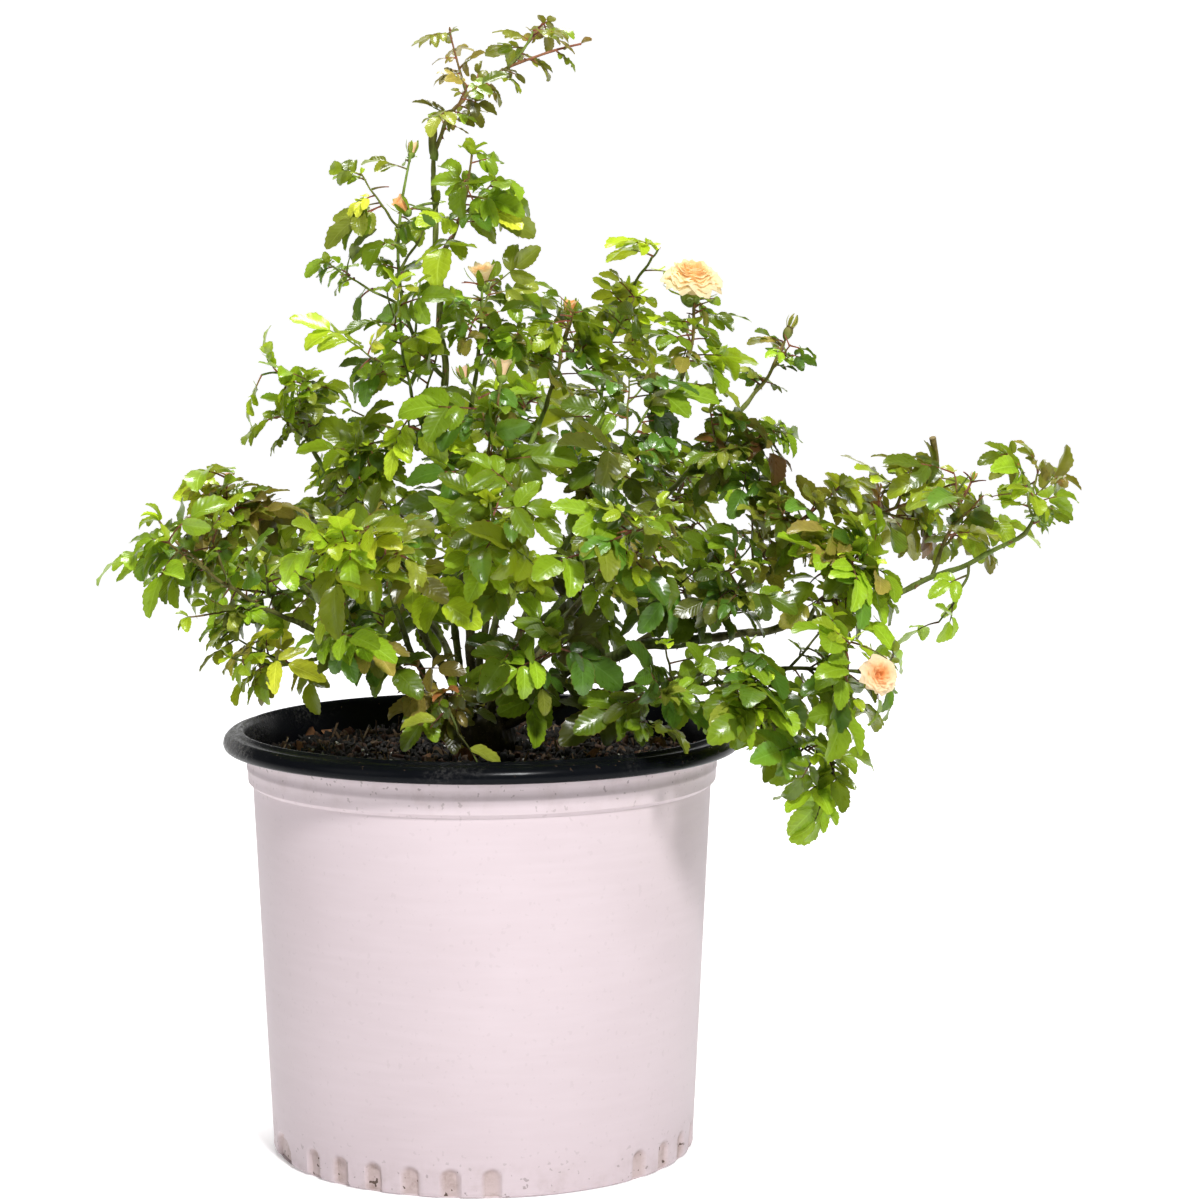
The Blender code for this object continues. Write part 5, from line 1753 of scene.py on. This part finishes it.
def bend_petal(radius, base, look, share, turn, openness, chance):
    """A petal's points; share is 0 at the heart of the flower and 1 at its edge."""
    s = petal.coords[:, 0]
    w = petal.coords[:, 1]
    length = radius * (0.72 + 0.42 * share) * chance.uniform(0.93, 1.05)
    lean = openness * (0.12 + 1.28 * share ** 1.15)
    roll = openness * (0.15 + 1.15 * share)

    def slant_at(height):
        return 0.25 + (lean - 0.25) * height + roll * np.maximum(0, height - 0.62) ** 2 * 5

    slant = slant_at(s)
    slants = slant_at(np.linspace(0, 1, PETAL_STEPS + 1))[1:]
    column = np.rint(s * PETAL_STEPS).astype(int)
    out, rise = [np.concatenate(([0], np.cumsum(curve(slants) * length / PETAL_STEPS)))[column]
                 for curve in (np.sin, np.cos)]
    foot = radius * (0.04 + 0.16 * share)
    spread = 0.95 * (s * 1.15) ** 0.55 * np.sqrt(np.maximum(0.0, 1 - (s * 0.93) ** 5)) + 0.08
    half = length * 0.60 * (0.75 + 0.35 * share)
    around = w * half * spread / np.maximum(foot + out, radius * 0.16)
    limit = math.pi * 0.62
    around = limit * np.tanh(around / limit)
    dip = -0.06 * radius * (np.abs(w) ** 2) * s * share
    notch = 0.05 * length * np.exp(-(w / 0.2) ** 2) * s ** 6
    flutter = 0.075 * radius * np.sin(5 * w + turn * 7) * s ** 3 * (0.4 + share)
    far = foot + out - notch * np.sin(slant) + flutter * np.cos(slant)
    high = rise + dip - notch * np.cos(slant) + flutter * np.sin(slant)
    across = look.orthogonal().normalized()
    beside = look.cross(across)
    angle = turn + around
    ring = np.array(across) * np.cos(angle)[:, None] + np.array(beside) * np.sin(angle)[:, None]
    return np.array(base) + ring * far[:, None] + np.array(look) * high[:, None]


petal_places = []
petal_tints = []
heads = []


def open_rose(middle, look, radius, petals, openness, colour, seed):
    """Add one flower's petals, and note its head for the green parts."""
    chance = random.Random(seed)
    base = middle - look * radius * FLOWER_SUNK
    outer, heart = [np.array(shade) for shade in PETAL_COLOURS[colour]]
    for k in range(petals):
        share = (k + 0.5) / petals
        turn = k * GOLDEN_TURN + chance.uniform(-0.2, 0.2)
        foot = base + look * radius * openness * 0.34 * (1 - share)
        petal_places.append(bend_petal(radius, foot, look, share, turn, openness, chance))
        deep = np.clip(1.15 - share * 1.1 - petal.coords[:, :1] * 0.35, 0, 1)
        shade = chance.uniform(0.94, 1.06)
        petal_tints.append(np.clip((outer * (1 - deep) + heart * deep) * shade, 0, 0.97))
    heads.append((base, look, radius, openness))
    return base


print("a petal is bent from", len(petal.coords), "points")

# %% Open flowers
LOOKS = {"bloom_spray": (0.10, -0.40, 0.90), "right_bloom_spray": (0.35, -0.90, 0.25),
         "half_open_spray": (-0.1, -0.35, 0.95)}
FLOWERS = {
    "bloom_spray": (17.2, 58, 1.04, "apricot", 0.1),
    "right_bloom_spray": (11.4, 34, 0.92, "peach", 0.0),
    "half_open_spray": (10.6, 22, 0.46, "cream", 0.25),
    "shoulder_spray": (6.2, 9, 0.18, "peach", 0.3),
    "bud_spray": (7.6, 11, 0.26, "orange", 0.3),
    "wing_bud_spray": (3.8, 6, 0.10, "orange", 0.2),
}
FLOWER_SEED = 40
LOOSE_SEED = 90


def ending_look(name):
    """Which way the flower at the end of a spray faces."""
    stem = stem_points(name)
    slope = (stem[-1] - stem[-2]).normalized()
    return Vector(LOOKS.get(name, slope + UP * 0.5)).normalized()


for number, spray in enumerate(SPRAYS):
    if spray.name in FLOWERS:
        radius, petals, openness, colour, lift = FLOWERS[spray.name]
        look = ending_look(spray.name)
        middle = stem_points(spray.name)[-1] + look * radius * MM * (0.2 + lift)
        open_rose(middle, look, radius * MM, petals, openness, colour, FLOWER_SEED + number)
print(len(heads), "flowers at the ends of sprays")


def nearest_tip(place):
    """The shoot that ends closest below a place: its last point and its direction."""
    shoots = [shoot for stem, shoots, leaves in growths.values() for shoot in shoots]
    shoot = min(shoots, key=lambda shoot: (shoot.points[-1] + UP * 8 * MM - place).length)
    return shoot.points[-1], (shoot.points[-1] - shoot.points[-2]).normalized()


BUD_STALK_STEPS = 5
bud_stalks = []
for number, (place, radius, petals, openness, colour) in enumerate(LOOSE_HEADS):
    middle = from_rim(place)
    tip, slope = nearest_tip(middle)
    look = ((middle - tip).normalized() + UP).normalized()
    base = open_rose(middle, look, radius * MM, petals, openness, colour, LOOSE_SEED + number)
    pull = tip.lerp(base, 0.5) + slope * 4 * MM
    bud_stalks.append([bezier(tip, pull, base, k / BUD_STALK_STEPS)
                       for k in range(BUD_STALK_STEPS + 1)])
    print("a loose bud stands", round((middle - tip).length / MM), "mm from its shoot")
petal_mesh = join_copies("rose_petals", petal, np.array(petal_places))
paint(petal_mesh, "petal_colour", np.concatenate(petal_tints))
print(len(petal_places), "petals in", len(heads), "flowers")


def silky_petal(shade):
    """Soft petal skin: fine lines run to the lip, light passes through, and a painted glow of its own
    colour brightens it though it is no lamp.
    """
    place = shade.place()
    own = shade.kept("petal_colour")
    fine = shade.noise(place, 700.0, 3.0)
    soft = shade.noise(place, 160.0, 2.0)
    deep = own.toned(0.90, 1.12)
    colour = soft.fit(0.35, 0.65).mix(deep, own)
    # the petals emit their own colour: a painted glow
    return {"Base Color": colour, "Emission Color": own, "Normal": shade.bump(fine, 0.0003, 0.35)}


# a weak emission makes the petals glow as painted light
petal_finish = new_finish("silky_petal", silky_petal, 0.55, through=0.35, glow=(1.0, 0.84, 0.52),
                          Specular_IOR_Level=0.2, Emission_Strength=0.14)
finish_piece(petal_mesh, petal_finish, "fresh_leaf")


# %% Sepals, cups and the spent hip
CALYX_PROFILE = ((0.10, -0.42), (0.26, -0.30), (0.34, -0.10), (0.30, 0.06), (0.12, 0.14))
HIP_PROFILE = ((0.9, 0.0), (1.9, 1.2), (2.7, 3.2), (2.9, 5.0), (2.3, 6.8), (2.0, 7.6),
               (2.6, 8.2), (1.0, 8.0))
HIP_TOP = (0.22, 0.13, 0.05)
HIP_SEPALS = 6
CUP_RINGS = 12
CUP_ROUND = 14
calyx_chance = random.Random(23)
cups = []
sepals = []


def add_cup(base, look, scale, profile, foot_colour, tip_colour):
    """A turned cup along an axis, from a profile of (out, high)."""
    cups.append(Tube([base + look * high * scale for out, high in profile],
                     [out * scale for out, high in profile], foot_colour, tip_colour))


def calyx(base, look, radius, openness):
    """A small green cup under a flower, and five pointed sepals round it."""
    add_cup(base, look, radius, CALYX_PROFILE, BARKS["green"], BARKS["bright"])
    for k in range(5):
        turn = k * math.tau / 5 + calyx_chance.uniform(-0.15, 0.15)
        out = out_from(look, turn)
        way = (look * (1.0 - 0.75 * openness) + out * (0.35 + 0.6 * openness)).normalized()
        face = (look - way * look.dot(way)).normalized() * -1
        length = radius * (1.25 if openness < 0.7 else 0.8) * calyx_chance.uniform(0.9, 1.1)
        root = base + out * radius * 0.26
        sepals.append(Leaflet(root, way, face, length, length * 0.30, 0.25, 0.5, 0.1, 0.0,
                              "fresh", 2 + k % 3))


for head in heads:
    calyx(*head)
hip_stem = stem_points("hip_spray")
hip_look = (hip_stem[-1] - hip_stem[-2]).normalized()
hip_base = hip_stem[-1] - hip_look * 1.5 * MM
add_cup(hip_base, hip_look, MM, HIP_PROFILE, BARKS["green"], HIP_TOP)
for k in range(HIP_SEPALS):
    out = out_from(hip_look, k * math.tau / HIP_SEPALS)
    way = (hip_look * 0.9 + out * calyx_chance.uniform(0.1, 0.8)).normalized()
    face = (out - way * out.dot(way)).normalized()
    root = hip_base + hip_look * 7.6 * MM + out * 1.5 * MM
    sepals.append(Leaflet(root, way, face, calyx_chance.uniform(5, 9) * MM, 1.8 * MM,
                          0.5, 0.9, 0.4, 0.0, "bronze", k))
cups += [Tube(stalk, [0.8 * MM] * len(stalk), BARKS["olive"], BARKS["green"]) for stalk in bud_stalks]
cup_tubes = []
for cup in cups:
    shares = np.linspace(0, 1, CUP_RINGS)
    radii = np.interp(shares, np.linspace(0, 1, len(cup.radii)), cup.radii)
    path = [place_on(cup.path, share)[0] for share in shares]
    cup_tubes.append(cup._replace(path=path, radii=radii))
cup_mesh = lay_tubes("flower_cups", cup_tubes, CUP_ROUND, CUP_RINGS)
finish_piece(cup_mesh, bark_finish, "young_bark")
sepal_mesh = lay_blades("sepals", sepals)
finish_piece(sepal_mesh, bpy.data.materials["fresh_leaves_left"], "fresh_leaf")

# %% [markdown]
# ## The finished model
# The two boxes, of the imported model and of the dressed one, are printed side by side, so
# that any growth past the solids shows at once.

# %% Print the sizes and finish
dressed_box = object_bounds()
boxes = {"cad": [list(corner) for corner in cad_box],
         "visual": [list(corner) for corner in dressed_box]}
print("solids", boxes["cad"])
print("dressed", boxes["visual"])
